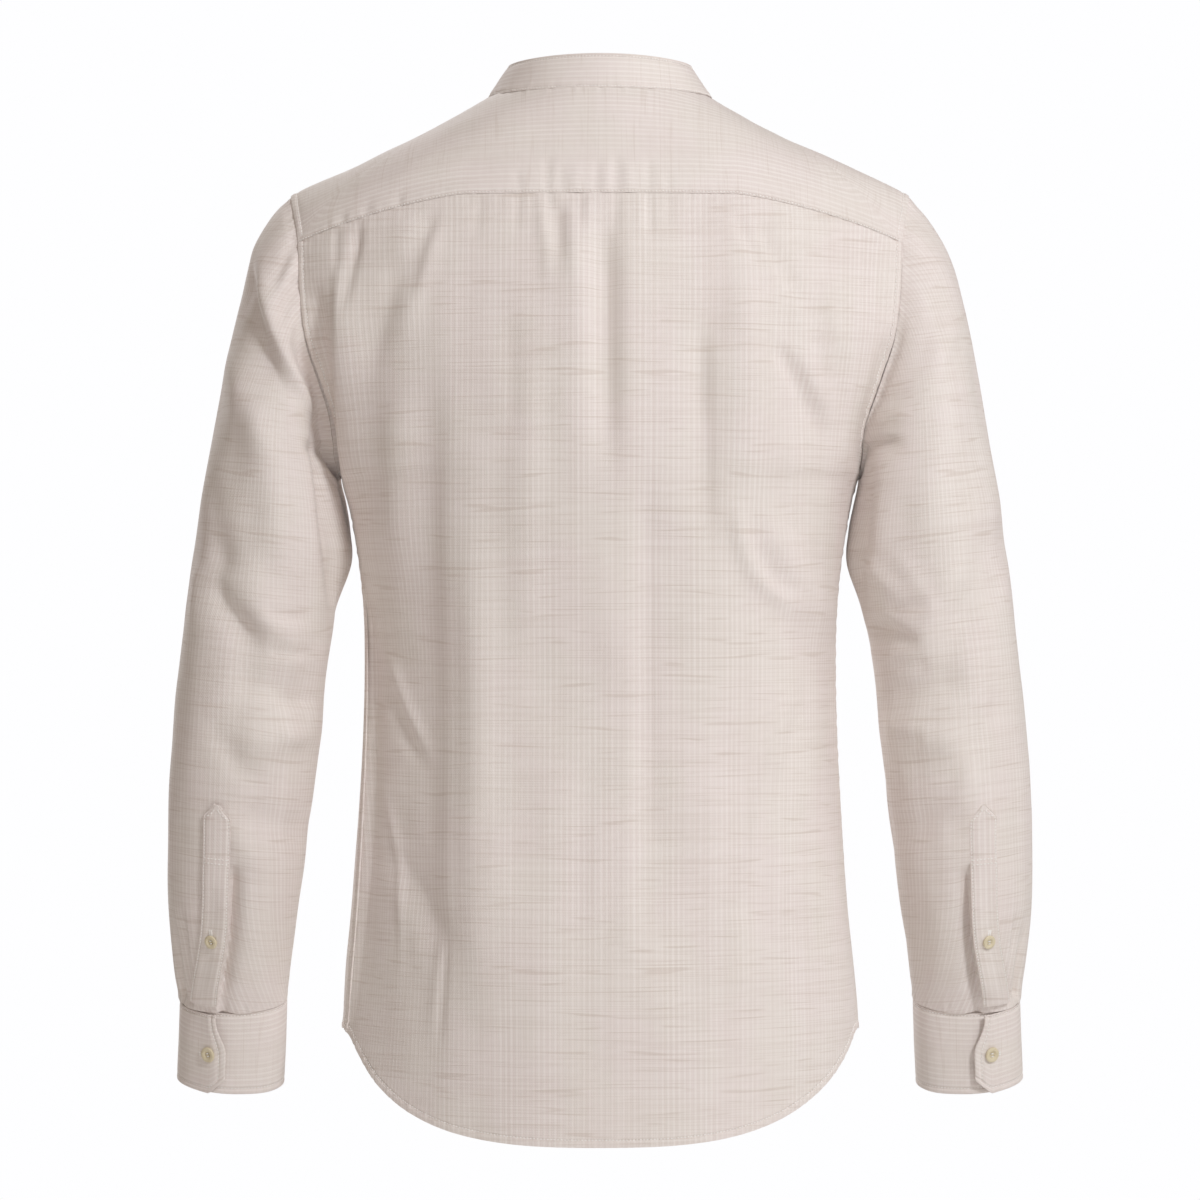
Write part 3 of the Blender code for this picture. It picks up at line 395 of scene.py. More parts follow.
DOUBLED_WALL = 1.3
FOLD_ROUND = 0.9
PLACKET_STITCH = 1.3

# Where a piece runs on under its neighbour: distances ahead of its edge and below its surface. The
# way ahead comes from the row that many rows back
TUCK_LOOK_BACK = 6
Tuck = namedtuple("Tuck", "ahead below")
TUCKS = rows_of(Tuck, ((5.0, 1.8), (0.8, 1.4), (0.15, 1.15), (0.05, 0.6)))

# The cuff's over end: how far its top leans back, and how far its free edge stands off over which
# distance. The sleeve placket's free edge stands off too, between shares down it, and its point
# and box have rows of stitches at shares down it. The sleeve sinks beside the free edge, below the
# box. The cuff's length is that round it with its lap
CUFF_SWAY = 7.4
CUFF_STAND_OFF = 4.2
CUFF_STAND_OFF_REACH = 13.0
PLACKET_STAND_OFF = 3.2
PLACKET_STAND_OFF_START = (0.28, 0.5)
PLACKET_STAND_OFF_END = (0.86, 1.0)
PLACKET_POINT_STITCH = (0.02, 0.075)
PLACKET_BOX = (0.262, 0.285)
CUFF_LENGTH = 264.0
SLIT_DIP = 8.5
SLIT_DIP_WIDTH = 7.5
SLIT_DIP_FADE = 0.55
SLIT_DIP_END = (632.0, 650.0)
SLIT_OPEN_HEIGHT = -545.0

# Pattern of the cloth: cord to cord, yarn to yarn, rib to rib and slub to slub. Shirting has about
# 0.35 mm from yarn to yarn, too fine to show on a whole shirt, so the grain is coarser here
CORD_PITCH = 3.9
GRAIN_PITCH = 1.7
RIB_PITCH = 1.9
SLUB_PITCH = 4.4


def columns(rows):
    """The table's columns as arrays, under the names of its rows' fields."""
    return type(rows[0])(*np.array(rows, float).T)


def curve_through(knots, values, at):
    """Cubic pieces through the knots, whose slope at each knot is that of its neighbours."""
    knots = np.asarray(knots, float)
    values = np.asarray(values, float)
    slopes = np.gradient(values, knots, axis=0)
    piece = np.clip(np.searchsorted(knots, at) - 1, 0, len(knots) - 2)
    length = knots[piece + 1] - knots[piece]
    share = (at - knots[piece]) / length
    return hermite(values[piece], slopes[piece] * length, values[piece + 1],
                   slopes[piece + 1] * length, share)


def hermite(start, start_way, end, end_way, share):
    """Cubic from start to end that leaves along start_way and arrives along end_way."""
    square = share * share
    cube = square * share
    return (start * (2 * cube - 3 * square + 1) + start_way * (cube - 2 * square + share)
            + end * (3 * square - 2 * cube) + end_way * (cube - square))


def by_height(rows, name, height):
    """One column of a table with falling heights, read smoothly at the given heights."""
    table = columns(rows)
    return curve_through(table.height[::-1], getattr(table, name)[::-1], height)


def step(low, high, value):
    """0 below low, 1 above high, and a smooth rise between them."""
    share = np.clip((value - low) / (high - low), 0.0, 1.0)
    return share * share * (3 - 2 * share)


def bell(value, half_width):
    """1 at zero, falling to both sides as the exponential of minus the square."""
    return np.exp(-(value / half_width) ** 2)


def surface_normals(shape, down, across):
    """Unit normals of a surface: the way of growing across times the way of growing down."""
    sideways = shape(down, across + REACH) - shape(down, across - REACH)
    downwards = shape(down + REACH, across) - shape(down - REACH, across)
    return unit(np.cross(sideways, downwards))


def unit(vectors):
    return vectors / np.linalg.norm(vectors, axis=-1, keepdims=True)


def grid(down, across):
    return np.meshgrid(down, across, indexing="ij")


def neck(turn):
    """Neck seam at a turn from the nape: an ellipse that drops with the squared cosine in front."""
    angle = np.radians(turn)
    front = np.cos(angle) < 0
    height = NECK_HEIGHT - NECK_DROP * np.where(front, np.cos(angle) ** 2, 0.0)
    return np.stack([NECK_HALF_WIDTH * np.sin(angle),
                     NECK_CENTRE_Y + NECK_HALF_DEPTH * np.cos(angle), height], axis=-1)


def band_top(turn):
    """Top line of the collar band: a smaller ellipse above the neck seam."""
    angle = np.radians(turn)
    square = np.cos(angle) ** 2
    height = BAND_TOP_HEIGHT + np.where(np.cos(angle) < 0, -BAND_TOP_DROP, BAND_BACK_RISE) * square
    return np.stack([BAND_TOP_HALF_WIDTH * np.sin(angle),
                     BAND_TOP_CENTRE_Y + BAND_TOP_HALF_DEPTH * np.cos(angle), height], axis=-1)


def armhole(turn):
    """The left armhole's seam at a turn, on a closed smooth curve."""
    table = columns(ARMHOLE)
    knots = np.concatenate([table.turn[-4:-1] - 360, table.turn, table.turn[1:4] + 360])
    turn = np.mod(turn, 360)
    points = [curve_through(knots, np.concatenate([values[-4:-1], values, values[1:4]]), turn)
              for values in (table.x, table.y, table.z)]
    return np.stack(points, axis=-1)


def armhole_turns(height, on_back):
    """Turns at which the armhole's back or front, from the yoke to the underarm, is at a height."""
    start = YOKE_BACK_CORNER_TURN if on_back else 360 + YOKE_FRONT_CORNER_TURN
    turns = np.linspace(180, start, LOOKUP_STEPS)
    return np.interp(height, armhole(turns)[:, 2], turns)


def body_edge(height, on_back):
    """x and y of a body panel's edge: the armhole's back or front down to the underarm, and the
    side seam below it, which sits a little behind the widest line near the hem."""
    hole = armhole(armhole_turns(height, on_back))
    below = np.minimum(height, UNDERARM)
    turn = np.radians(seam_turn(below))
    depth = by_height(BACK_CENTRE, "y", below)
    seam_x = by_height(SIDES, "half_width", below) * np.cos(turn)
    seam_y = by_height(SIDES, "y", below) + depth * np.sin(turn)
    armed = height > UNDERARM
    return np.where(armed, hole[..., 0], seam_x), np.where(armed, hole[..., 1], seam_y)


def seam_turn(height):
    """How far the side seam lies behind the widest line, in degrees."""
    return SEAM_TURN_AT_HEM * step(-UNDERARM, -HEM_SIDE, -height)


def spread(height, on_back):
    """Angle of a panel's cross arc at an edge height, in degrees."""
    top = YOKE_SEAM_END if on_back else FRONT_CORNER
    above = SPREAD_AT_YOKE + (SPREAD_AT_UNDERARM - SPREAD_AT_YOKE) * step(-top, -UNDERARM, -height)
    return above + seam_turn(np.minimum(height, UNDERARM)) * (-1 if on_back else 1)


def panel_rows(down, on_back):
    """Edge height, centre height and centre depth of a panel's rows, from 0 at the top to 1."""
    if on_back:
        edge = YOKE_SEAM_END + (HEM_SIDE - YOKE_SEAM_END) * down
        centre = YOKE_SEAM_CENTRE + (HEM_BACK - YOKE_SEAM_CENTRE) * down
        return edge, centre, by_height(BACK_CENTRE, "y", centre)
    edge = FRONT_CORNER + (HEM_SIDE - FRONT_CORNER) * down
    centre = neck(180.0)[2] + (HEM_FRONT - neck(180.0)[2]) * down
    return edge, centre, by_height(FRONT_CENTRE, "y", centre)


def back_panel(down, across):
    return panel(down, across, True)


def panel(down, across, on_back):
    """A body panel without folds. Each row is an arc from the centre line to the edge: x goes with
    the sine and y with the cosine of the share of the row's spread, and z eases from the centre
    height to the edge height, flat and then falling along the yoke, in a double curve along the
    hem."""
    edge_z, centre_z, centre_y = panel_rows(down, on_back)
    edge_x, edge_y = body_edge(edge_z, on_back)
    angle = np.radians(spread(edge_z, on_back))
    share = np.abs(across)
    x = edge_x * np.sin(across * angle) / np.sin(angle)
    y = edge_y + (centre_y - edge_y) * (np.cos(across * angle) - np.cos(angle)) / (1 - np.cos(angle))
    past_flat = np.clip((share - YOKE_SEAM_FLAT_SHARE) / (1 - YOKE_SEAM_FLAT_SHARE), 0, 1)
    hem_ease = 1 - np.clip(1 - share ** HEM_CURVE, 0, None) ** HEM_FLARE
    ease = (1 - down) * past_flat ** YOKE_SEAM_CURVE + down * hem_ease
    return np.stack([x, y, centre_z + (edge_z - centre_z) * ease], axis=-1)


def front_across(down, x):
    """Share across a row at which the fronts reach x."""
    edge_z = panel_rows(down, False)[0]
    angle = np.radians(spread(edge_z, False))
    return np.arcsin(x * np.sin(angle) / body_edge(edge_z, False)[0]) / angle


def front_neck_share():
    """Share across at which the yoke's front seam meets the neck."""
    return front_across(np.zeros(1), neck(YOKE_NECK_TURN)[0])[0]


def yoke(out, around):
    """The yoke at a share out from the neck and a share around, -1 to 1 from front seam to front
    seam. Each column is a cubic from the neck seam to the armhole or the back seam. It leaves the
    neck outwards and down, and it arrives in the plane of the surface that it meets."""
    share = np.abs(around)
    turn = YOKE_NECK_TURN * share
    start = neck(turn)
    on_back = back_panel(np.zeros_like(share), np.minimum(share / YOKE_BACK_SHARE, 1.0))
    past = np.clip((share - YOKE_BACK_SHARE) / (1 - YOKE_BACK_SHARE), 0, None)
    corner_turns = YOKE_FRONT_CORNER_TURN - YOKE_BACK_CORNER_TURN
    on_hole = armhole(YOKE_BACK_CORNER_TURN + corner_turns * past)
    end = np.where((share > YOKE_BACK_SHARE)[..., None], on_hole, on_back)
    chord = end - start
    length = np.linalg.norm(chord, axis=-1, keepdims=True)
    normal = yoke_edge_normal(share, past)
    arrive = unit(chord - np.sum(chord * normal, axis=-1, keepdims=True) * normal) * length
    angle = np.radians(turn)
    fall = YOKE_SLOPE_AT_SIDE + YOKE_SLOPE_MORE_AT_NAPE * np.maximum(np.cos(angle), 0) ** 2
    radial = np.stack([np.sin(angle), np.cos(angle), -fall], axis=-1)
    reach = np.hypot(chord[..., 0], chord[..., 1])
    towards = np.stack([chord[..., 0], chord[..., 1], -fall * reach], axis=-1)
    leave = unit(unit(radial) + unit(towards)) * length
    points = hermite(start, leave, end, arrive, out[..., None])
    points[..., 0] *= np.where(around < 0, -1, 1)
    return points


def soft_yoke(out, around):
    """The yoke, evened out beside its back corners: the weighted mean of five columns about each
    point, whose reach is nothing along the yoke's edges."""
    reach = CORNER_REACH * 4 * out * (1 - out) * step(0, 0.15, 1 - np.abs(around))
    columns_about = ((-2, 1), (-1, 2), (0, 3), (1, 2), (2, 1))
    return sum(weight * yoke(out, around + shift * reach) for shift, weight in columns_about) / 9


def yoke_edge_normal(share, past):
    """Normal along the yoke's outer edge: that of the back along the back seam, and over the
    shoulder a blend from the back corner by the shoulder tip to the front corner."""
    top = np.zeros_like(share)
    here = np.clip(share / YOKE_BACK_SHARE, REACH, 1.0)
    back_normal = surface_normals(back_panel, top, here)
    tip = YOKE_BACK_CORNER_TURN / (YOKE_BACK_CORNER_TURN - YOKE_FRONT_CORNER_TURN)
    to_tip = step(0, tip, past)[..., None]
    to_front = step(tip, 1, past)[..., None]
    normal = back_normal * (1 - to_tip) + np.array(SHOULDER_TIP_NORMAL) * to_tip
    return unit(normal * (1 - to_front) + np.array(FRONT_CORNER_NORMAL) * to_front)


def front_top(across):
    """Top edge of the fronts: the neck seam from the centre, then the yoke's front seam."""
    flat = panel(np.zeros_like(across), across, False)
    share = np.abs(across)
    neck_share = front_neck_share()
    turn = 180 - np.degrees(np.arcsin(np.clip(np.abs(flat[..., 0]) / NECK_HALF_WIDTH, 0, 1)))
    on_neck = neck(turn)
    out = np.clip((share - neck_share) / (1 - neck_share), 0, None)
    on_seam = yoke(out, np.ones_like(share))
    points = np.where((share > neck_share)[..., None], on_seam, on_neck)
    points[..., 0] *= np.where(across < 0, -1, 1)
    return points


def plain_front(down, across):
    """The fronts without folds: the panel, lifted near the top to its true top edge, the lift
    fading with the square of the way down."""
    lift = front_top(across) - panel(np.zeros_like(down), across, False)
    fade = np.clip(1 - down / NECK_FADE, 0, None) ** 2
    return panel(down, across, False) + lift * fade[..., None]


def fold_depth(points, folds):
    """How far the large folds move each point: a bell across each fold's line as seen from behind,
    fading to both its ends."""
    depth = np.zeros(points.shape[:-1])
    for fold in folds:
        line = np.array([fold.x_end - fold.x, fold.z_end - fold.z])
        length = np.hypot(*line)
        offset = points[..., [0, 2]] - np.array([fold.x, fold.z])
        along = offset @ line / length ** 2
        aside = (offset[..., 0] * line[1] - offset[..., 1] * line[0]) / length
        fade = step(*FOLD_START, along) * (1 - step(*FOLD_END, along))
        depth += fold.depth * bell(aside, fold.half_width) * fade
    return depth


def crease_depth(points, creases):
    """How far fine creases move each point: across each arc a bell with its own half width on
    either side, and along it a smooth rise from one end and a longer fall to the other."""
    depth = np.zeros(points.shape[:-1])
    for crease in creases:
        line = np.array([crease.x_end - crease.x, crease.z_end - crease.z])
        length = np.hypot(*line)
        offset = points[..., [0, 2]] - np.array([crease.x, crease.z])
        along = offset @ line / length ** 2
        aside = (offset[..., 1] * line[0] - offset[..., 0] * line[1]) / length
        aside = aside - crease.bend * 4 * along * (1 - along)
        width = np.where(aside > 0, crease.plus_width, crease.minus_width)
        fade = step(*CREASE_START, along) * (1 - step(*CREASE_END, along))
        depth += crease.depth * bell(aside, width) * fade
    return depth


def rumple(u, v, seed):
    """Unevenness of worn cloth: for each wave length a few sines that run in random directions,
    each bent by a longer sine across it."""
    draw = np.random.default_rng(seed)
    total = np.zeros(u.shape)
    for wave in RUMPLES:
        for angle, phase, bend_phase in draw.uniform(0, 2 * math.pi, (RUMPLE_WAVES, 3)):
            along = u * math.cos(angle) + v * math.sin(angle)
            aside = v * math.cos(angle) - u * math.sin(angle)
            bend_length = RUMPLE_BEND_LENGTH * wave.length
            bend = RUMPLE_BEND * np.sin(2 * math.pi * aside / bend_length + bend_phase)
            share = np.sin(2 * math.pi * along / wave.length + phase + bend)
            total += wave.height * share / math.sqrt(RUMPLE_WAVES)
    return total


def pucker(along, away, seed, pitch, reach, height):
    """Small uneven ripples along a seam: three sines of unlike pitches along it, which fade with
    the distance from it."""
    phases = np.random.default_rng(seed).uniform(0, 2 * math.pi, len(PUCKER_SINES))
    ripple = sum(share * np.sin(2 * math.pi * along / (stretch * pitch) + phase)
                 for (stretch, share), phase in zip(PUCKER_SINES, phases))
    return height / 2 * ripple * bell(away, reach)


def groove(away, place):
    """The shallow groove that a row of stitches pulls into the cloth."""
    return -GROOVE * bell(away - place, GROOVE_HALF_WIDTH)


def rounded(away, radius=EDGE_ROUND):
    """How far a folded edge rounds inwards: a quarter circle over the last bit before it."""
    left = np.clip(1 - away / radius, 0, 1)
    return -radius * (1 - np.sqrt(1 - left ** 2))


def felled(away):
    """A flat-felled seam's band, which stands proud from the seam to its row of stitches."""
    band = FELL_RISE * (1 - step(FELL_WIDTH - 0.4, FELL_WIDTH + 0.8, away))
    return band + FELL_GROOVE * groove(away, FELL_STITCH)


@functools.cache
def half_widths(on_back):
    """Shares down, and the arc length of half the panel's row at each."""
    down, across = grid(np.linspace(0, 1, 61), np.linspace(0, 1, 41))
    points = panel(down, across, on_back)
    return down[:, 0], np.linalg.norm(np.diff(points, axis=1), axis=-1).sum(axis=1)


def side_distance(down, across, on_back):
    """Distance from a panel's edge, along its row."""
    return (1 - np.abs(across)) * np.interp(down, *half_widths(on_back))


def hem_length(across, on_back):
    """Height of a panel from its top to its hem, at a share across."""
    top = panel(np.zeros_like(across), across, on_back)[..., 2]
    return top - panel(np.ones_like(across), across, on_back)[..., 2]


def hem_relief(away, along, seed):
    """A narrow turned hem: a band that stands proud, its groove, and roping ripples between."""
    band = 0.45 * (1 - step(HEM_WIDTH - 0.3, HEM_WIDTH + 0.9, away))
    roping = pucker(along, away - 3.5, seed, pitch=7.5, reach=5, height=0.5)
    return band + groove(away, HEM_STITCH) + roping


def back(down, across):
    """The back: the plain panel moved along its normals by its large folds, its fine creases, its
    unevenness, and the relief of its seams and hem."""
    points = back_panel(down, across)
    normals = surface_normals(back_panel, down, across)
    side = side_distance(down, across, True)
    length = hem_length(across, True)
    top = down * length
    width = np.interp(down, *half_widths(True))
    height = fold_depth(points, BACK_FOLDS) + crease_depth(points, BACK_CREASES)
    calm = step(0, 25, side) * step(0, 12, top)
    height = height * step(-4, 18, side) * step(-2, 14, top)
    height += rumple(points[..., 0], RUMPLE_STRETCH * points[..., 2], seed=3) * calm
    height += crease_depth(points, BACK_GATHERS) * step(-4, 6, top)
    armed = step(UNDERARM - 4, UNDERARM + 6, points[..., 2])
    height += (felled(side) + rounded(side)) * armed
    height += pucker(points[..., 2], side - 8, seed=5, pitch=8, reach=8, height=0.7) * armed
    seam = pucker(points[..., 2], side, seed=6, pitch=9, reach=8, height=0.4)
    height += (0.3 * bell(side, 5) + seam) * (1 - armed)
    height += hem_relief(length * (1 - down), across * width, seed=7)
    height += pucker(across * width, top - 5, seed=8, pitch=7, reach=6, height=0.35)
    return points + normals * height[..., None]


@functools.cache
def yoke_lengths():
    """Shares around half the yoke, and the arc length of the column at each."""
    around, out = grid(np.linspace(0, 1, 61), np.linspace(0, 1, 21))
    points = yoke(out, around)
    return around[:, 0], np.linalg.norm(np.diff(points, axis=1), axis=-1).sum(axis=1)


def yoke_cloth(out, around):
    """The yoke: its back seam's folded edge stands proud and falls away upwards, the armhole has
    the felled band, and small gathers rise from the back seam."""
    points = soft_yoke(out, around)
    normals = surface_normals(soft_yoke, out, around)
    share = np.abs(around)
    length = np.interp(share, *yoke_lengths())
    away = (1 - out) * length
    armed = step(YOKE_BACK_SHARE - 0.012, YOKE_BACK_SHARE + 0.012, share)
    seam = 0.6 * (1 - step(2, 16, away)) + groove(away, EDGE_STITCH) + rounded(away)
    seam += pucker(points[..., 0], away - 4, seed=11, pitch=6.5, reach=6, height=0.3)
    height = seam * (1 - armed) + (felled(away) + rounded(away)) * armed
    height += crease_depth(points, YOKE_GATHERS) * step(-4, 6, away) * (1 - step(40, 60, away))
    worn = rumple(points[..., 0], points[..., 2] - points[..., 1], seed=12)
    height += 0.6 * worn * step(0, 20, away)
    height += pucker(points[..., 0], out * length, seed=13, pitch=7, reach=7, height=0.3)
    return points + normals * height[..., None]


def front(down, across):
    """The fronts, from the right edge at -1 to the left edge at 1, with folds, creases and seams.
    Towards the hem they are raised a little near the side seams."""
    points = plain_front(down, across)
    normals = -surface_normals(plain_front, down, across)
    side = side_distance(down, across, False)
    length = hem_length(across, False)
    width = np.interp(down, *half_widths(False))
    height = fold_depth(points, FRONT_FOLDS) + crease_depth(points, FRONT_CREASES)
    calm = step(0, 25, side) * step(0, 0.04, down) * step(10, 45, np.abs(points[..., 0]))
    height = height * step(-8, 16, side)
    height += rumple(points[..., 0], RUMPLE_STRETCH * points[..., 2], seed=21) * calm
    armed = step(UNDERARM - 4, UNDERARM + 6, points[..., 2])
    height += (felled(side) + rounded(side)) * armed
    height += pucker(points[..., 2], side - 8, seed=22, pitch=8, reach=8, height=0.7) * armed
    height += hem_relief(length * (1 - down), across * width, seed=23)
    height += pucker(across * width, down * length, seed=24, pitch=7, reach=9, height=0.3)
    raised = FRONT_HEM_LIFT * bell(side - FRONT_HEM_LIFT_PLACE, FRONT_HEM_LIFT_REACH)
    points[..., 2] += raised * step(0.85, 1, down)
    return points + normals * height[..., None]


def right_front(down, across):
    """The right front, which dips where it passes under the button stand."""
    points = front(down, across)
    normals = -surface_normals(plain_front, down, across)
    dip = UNDERLAP_DIP * step(-STAND_WIDTH / 2 - DIP_WIDTH, -STAND_WIDTH / 2, points[..., 0])
    return points - normals * dip[..., None]


def button_stand(down, across):
    """The stand over the centre front, a share of -1 to 1 across its width, with a row of stitches
    and a rounded fold at each edge."""
    shape_across = front_across(down, STAND_WIDTH / 2) * across
    points = front(down, shape_across)
    normals = -surface_normals(plain_front, down, shape_across)
    away = (1 - np.abs(across)) * STAND_WIDTH / 2
    height = 0.35 + groove(away, CUFF_STITCH) + rounded(away)
    height += pucker(points[..., 2], away - CUFF_STITCH, seed=25, pitch=7, reach=4, height=0.25)
    return points + normals * height[..., None]


def plain_sleeve(down, around):
    """The left sleeve without folds, at a share down from the armhole and a share around: 0 at the
    outer side, a quarter at the back, a half at the inner side. A ring is an ellipse between its
    outer and inner point, its depth tipped back. Near the armhole the seam's own departure from an
    ellipse is added, fading away downwards."""
    table = columns(SLEEVE)
    places = np.linspace(0, 1, len(SLEEVE))
    ring = Ring(*(curve_through(places, values, down) for values in table))
    turn = 360 * around
    seam = armhole(turn) - ellipse(SLEEVE[0], turn)
    return ellipse(ring, turn) + seam * (np.clip(1 - down / CAP_FADE, 0, 1) ** CAP_FADE_POWER)[..., None]


def ellipse(ring, turn):
    """Point of a sleeve ring at a turn."""
    angle = np.radians(turn)
    tip = np.radians(ring.tip)
    depth = ring.half_depth * np.sin(angle)
    outer_share = (1 + np.cos(angle)) / 2
    x = ring.inner_x + (ring.outer_x - ring.inner_x) * outer_share
    z = ring.inner_z + (ring.outer_z - ring.inner_z) * outer_share
    return np.stack([x, ring.y + depth * np.cos(tip), z - depth * np.sin(tip)], axis=-1)


def folded_sleeve(down, around):
    """The left sleeve with its large folds, and with the pleats that take it into the cuff."""
    points = plain_sleeve(down, around)
    normals = -surface_normals(plain_sleeve, down, around)
    behind = step(*BEHIND, normals[..., 1])
    depth = fold_depth(points, SLEEVE_BACK_FOLDS) * behind
    depth += fold_depth(points, SLEEVE_FRONT_FOLDS) * (1 - behind)
    depth *= step(*SLEEVE_FOLDS_START, down) * (1 - step(*SLEEVE_FOLDS_END, down))
    for pleat in PLEATS:
        aside = (np.mod(360 * around - pleat.turn + 180, 360) - 180) / pleat.half_width
        rise = step(-pleat.top, PLEAT_FADE - pleat.top, -points[..., 2])
        depth += pleat.depth * bell(aside, 1) * rise * (1 - PLEAT_CALM * step(PLEAT_CALM_START, 1, down))
    return points + normals * depth[..., None]


def sleeve(down, around, creases, seed):
    """A sleeve with its fine creases, its unevenness, and puckers along the armhole and cuff."""
    points = folded_sleeve(down, around)
    normals = -surface_normals(plain_sleeve, down, around)
    behind = step(*BEHIND, normals[..., 1])
    from_hole = down * SLEEVE_LENGTH
    to_cuff = (1 - down) * SLEEVE_LENGTH
    height = crease_depth(points, creases) * behind * step(-6, 10, from_hole)
    height *= step(-1, 14, to_cuff)
    calm = step(0, 25, from_hole) * step(0, 35, to_cuff)
    height += rumple(SLEEVE_GIRTH * around, RUMPLE_STRETCH * points[..., 2], seed) * calm * SLEEVE_RUMPLE
    eased = pucker(around * ARMHOLE_GIRTH, from_hole, seed + 1, pitch=11, reach=14, height=0.8)
    height += eased * step(-1, 5, from_hole)
    height -= 0.25 * bell(from_hole, 4)
    eased = pucker(around * SLEEVE_FOOT_GIRTH, to_cuff, seed + 2, pitch=7, reach=12, height=0.9)
    height += eased * step(-1, 5, to_cuff)
    height += slit_dip(points, around)
    return points + normals * height[..., None]


def slit_line(height):
    """The slit's middle as a turn, and the sleeve's radius there."""
    slit = columns(SLIT)
    rings = columns(SLEEVE)
    return (curve_through(-slit.height, slit.turn, -height),
            curve_through(-rings.outer_z, rings.half_depth, -height))


def slit_dip(points, around):
    """How far the sleeve sinks beside the placket's free edge, which lies on the body side."""
    middle, radius = slit_line(np.clip(points[..., 2], SLIT[-1].height, SLIT[0].height))
    past = np.radians(360 * around - middle) * radius - SLIT_WIDTH / 2
    beside = step(-1.5, 1.5, past) * bell(np.maximum(past, 0), SLIT_DIP_WIDTH)
    height = points[..., 2]
    opened = step(-SLIT_OPEN_HEIGHT, 15 - SLIT_OPEN_HEIGHT, -height)
    return -SLIT_DIP * beside * opened * (1 - SLIT_DIP_FADE * step(*SLIT_DIP_END, -height))


def left_sleeve(down, around):
    return sleeve(down, around, LEFT_SLEEVE_CREASES, seed=31)


def right_sleeve(down, around):
    """The right sleeve as its image on the left."""
    return sleeve(down, around, RIGHT_SLEEVE_CREASES, seed=41)


def collar_band(down, around):
    """The band from its top line at 0 to the neck seam at 1, between its two ends at -1 and 1.
    The upper corners of the ends are round."""
    end = 180 - math.degrees(math.asin(BAND_END_GAP / 2 / BAND_TOP_HALF_WIDTH))
    turn = around * end
    seam = neck(turn)
    top = band_top(turn)
    foot = seam + unit(top - seam) * BAND_SEAT
    ahead = np.cos(np.radians(turn)) < 0
    left = np.where(ahead, BAND_CORNER + BAND_END_GAP / 2 - np.abs(top[..., 0]), 0)
    left = np.clip(left, 0, BAND_CORNER)
    rounding = BAND_CORNER - np.sqrt(BAND_CORNER ** 2 - left ** 2)
    cut = rounding / np.linalg.norm(top - foot, axis=-1)
    return top + (foot - top) * (down + (1 - down) * cut)[..., None]


def collar_cloth(down, around):
    """The collar band with rounded edges, a row of stitches along its top and its foot, and the
    foot standing proud of the yoke."""
    points = collar_band(down, around)
    normals = surface_normals(collar_band, down, around)
    top = down * BAND_HEIGHT
    foot = (1 - down) * BAND_HEIGHT
    height = rounded(top) + rounded(foot) + groove(top, BAND_TOP_STITCH) + groove(foot, EDGE_STITCH)
    seam = pucker(around * BAND_LENGTH, foot - 4, seed=51, pitch=8, reach=5, height=0.25)
    height += 0.3 * (1 - step(2, 9, foot)) + seam
    worn = rumple(around * BAND_LENGTH, top, seed=52)
    height += 0.35 * worn * step(0, 8, top) * step(0, 8, foot)
    return points + normals * height[..., None]


def cuff(down, around):
    """The left cuff, once round from its under end at 0 to its over end at 1 and a lap further: an
    ellipse about a leaning axis. Under the lap the cuff lies further in, and past the lap it comes
    out again. The foot rolls up towards the outer side, the over end's lower corner is
    cut off and its upper part leans back."""
    sway = CUFF_SWAY / CUFF_LENGTH * (1 - step(0.05, 0.6, down)) * np.abs(around) ** 12
    turn = CUFF_OVER_END - CUFF_LAP + (360 + CUFF_LAP) * (around - sway)
    angle = np.radians(turn)
    tilt = math.radians(CUFF_TILT)
    top = np.array(CUFF_TOP)
    axis = np.array(CUFF_FOOT) - top
    to_end = np.radians(CUFF_OVER_END + 360 - turn) * CUFF_HALF_WIDTH
    cut = np.clip(CUFF_MITRE - to_end, 0, CUFF_MITRE) / np.linalg.norm(axis)
    start, end = CUFF_RISE
    under = CUFF_DIP * (1 - step(CUFF_OVER_END + start, CUFF_OVER_END + end, turn))
    depth = (CUFF_HALF_DEPTH - under) * np.sin(angle)
    width = (CUFF_HALF_WIDTH - under) * np.cos(angle)
    roll = width * down * math.tan(math.radians(CUFF_ROLL))
    ring = np.stack([width, depth * math.cos(tilt), roll - depth * math.sin(tilt)], axis=-1)
    return top + axis * (down * (1 - cut))[..., None] + ring


def cuff_cloth(down, around):
    """The left cuff with rounded edges and rows of stitches along its top, foot and over end."""
    points = cuff(down, around)
    normals = -surface_normals(cuff, down, around)
    top = down * CUFF_HEIGHT
    foot = (1 - down) * CUFF_HEIGHT
    end = (1 - around) * CUFF_LENGTH
    height = rounded(top, FOLD_ROUND) + rounded(foot, FOLD_ROUND) + rounded(end, FOLD_ROUND)
    height += CUFF_STAND_OFF * bell(end, CUFF_STAND_OFF_REACH)
    height += groove(top, EDGE_STITCH) + groove(foot, CUFF_STITCH)
    height += groove(end, CUFF_STITCH) * step(3, 5, foot)
    height += 0.3 * rumple(around * CUFF_LENGTH, top, seed=61)
    height += pucker(around * CUFF_LENGTH, top, seed=62, pitch=7, reach=6, height=0.25)
    return points + normals * height[..., None]


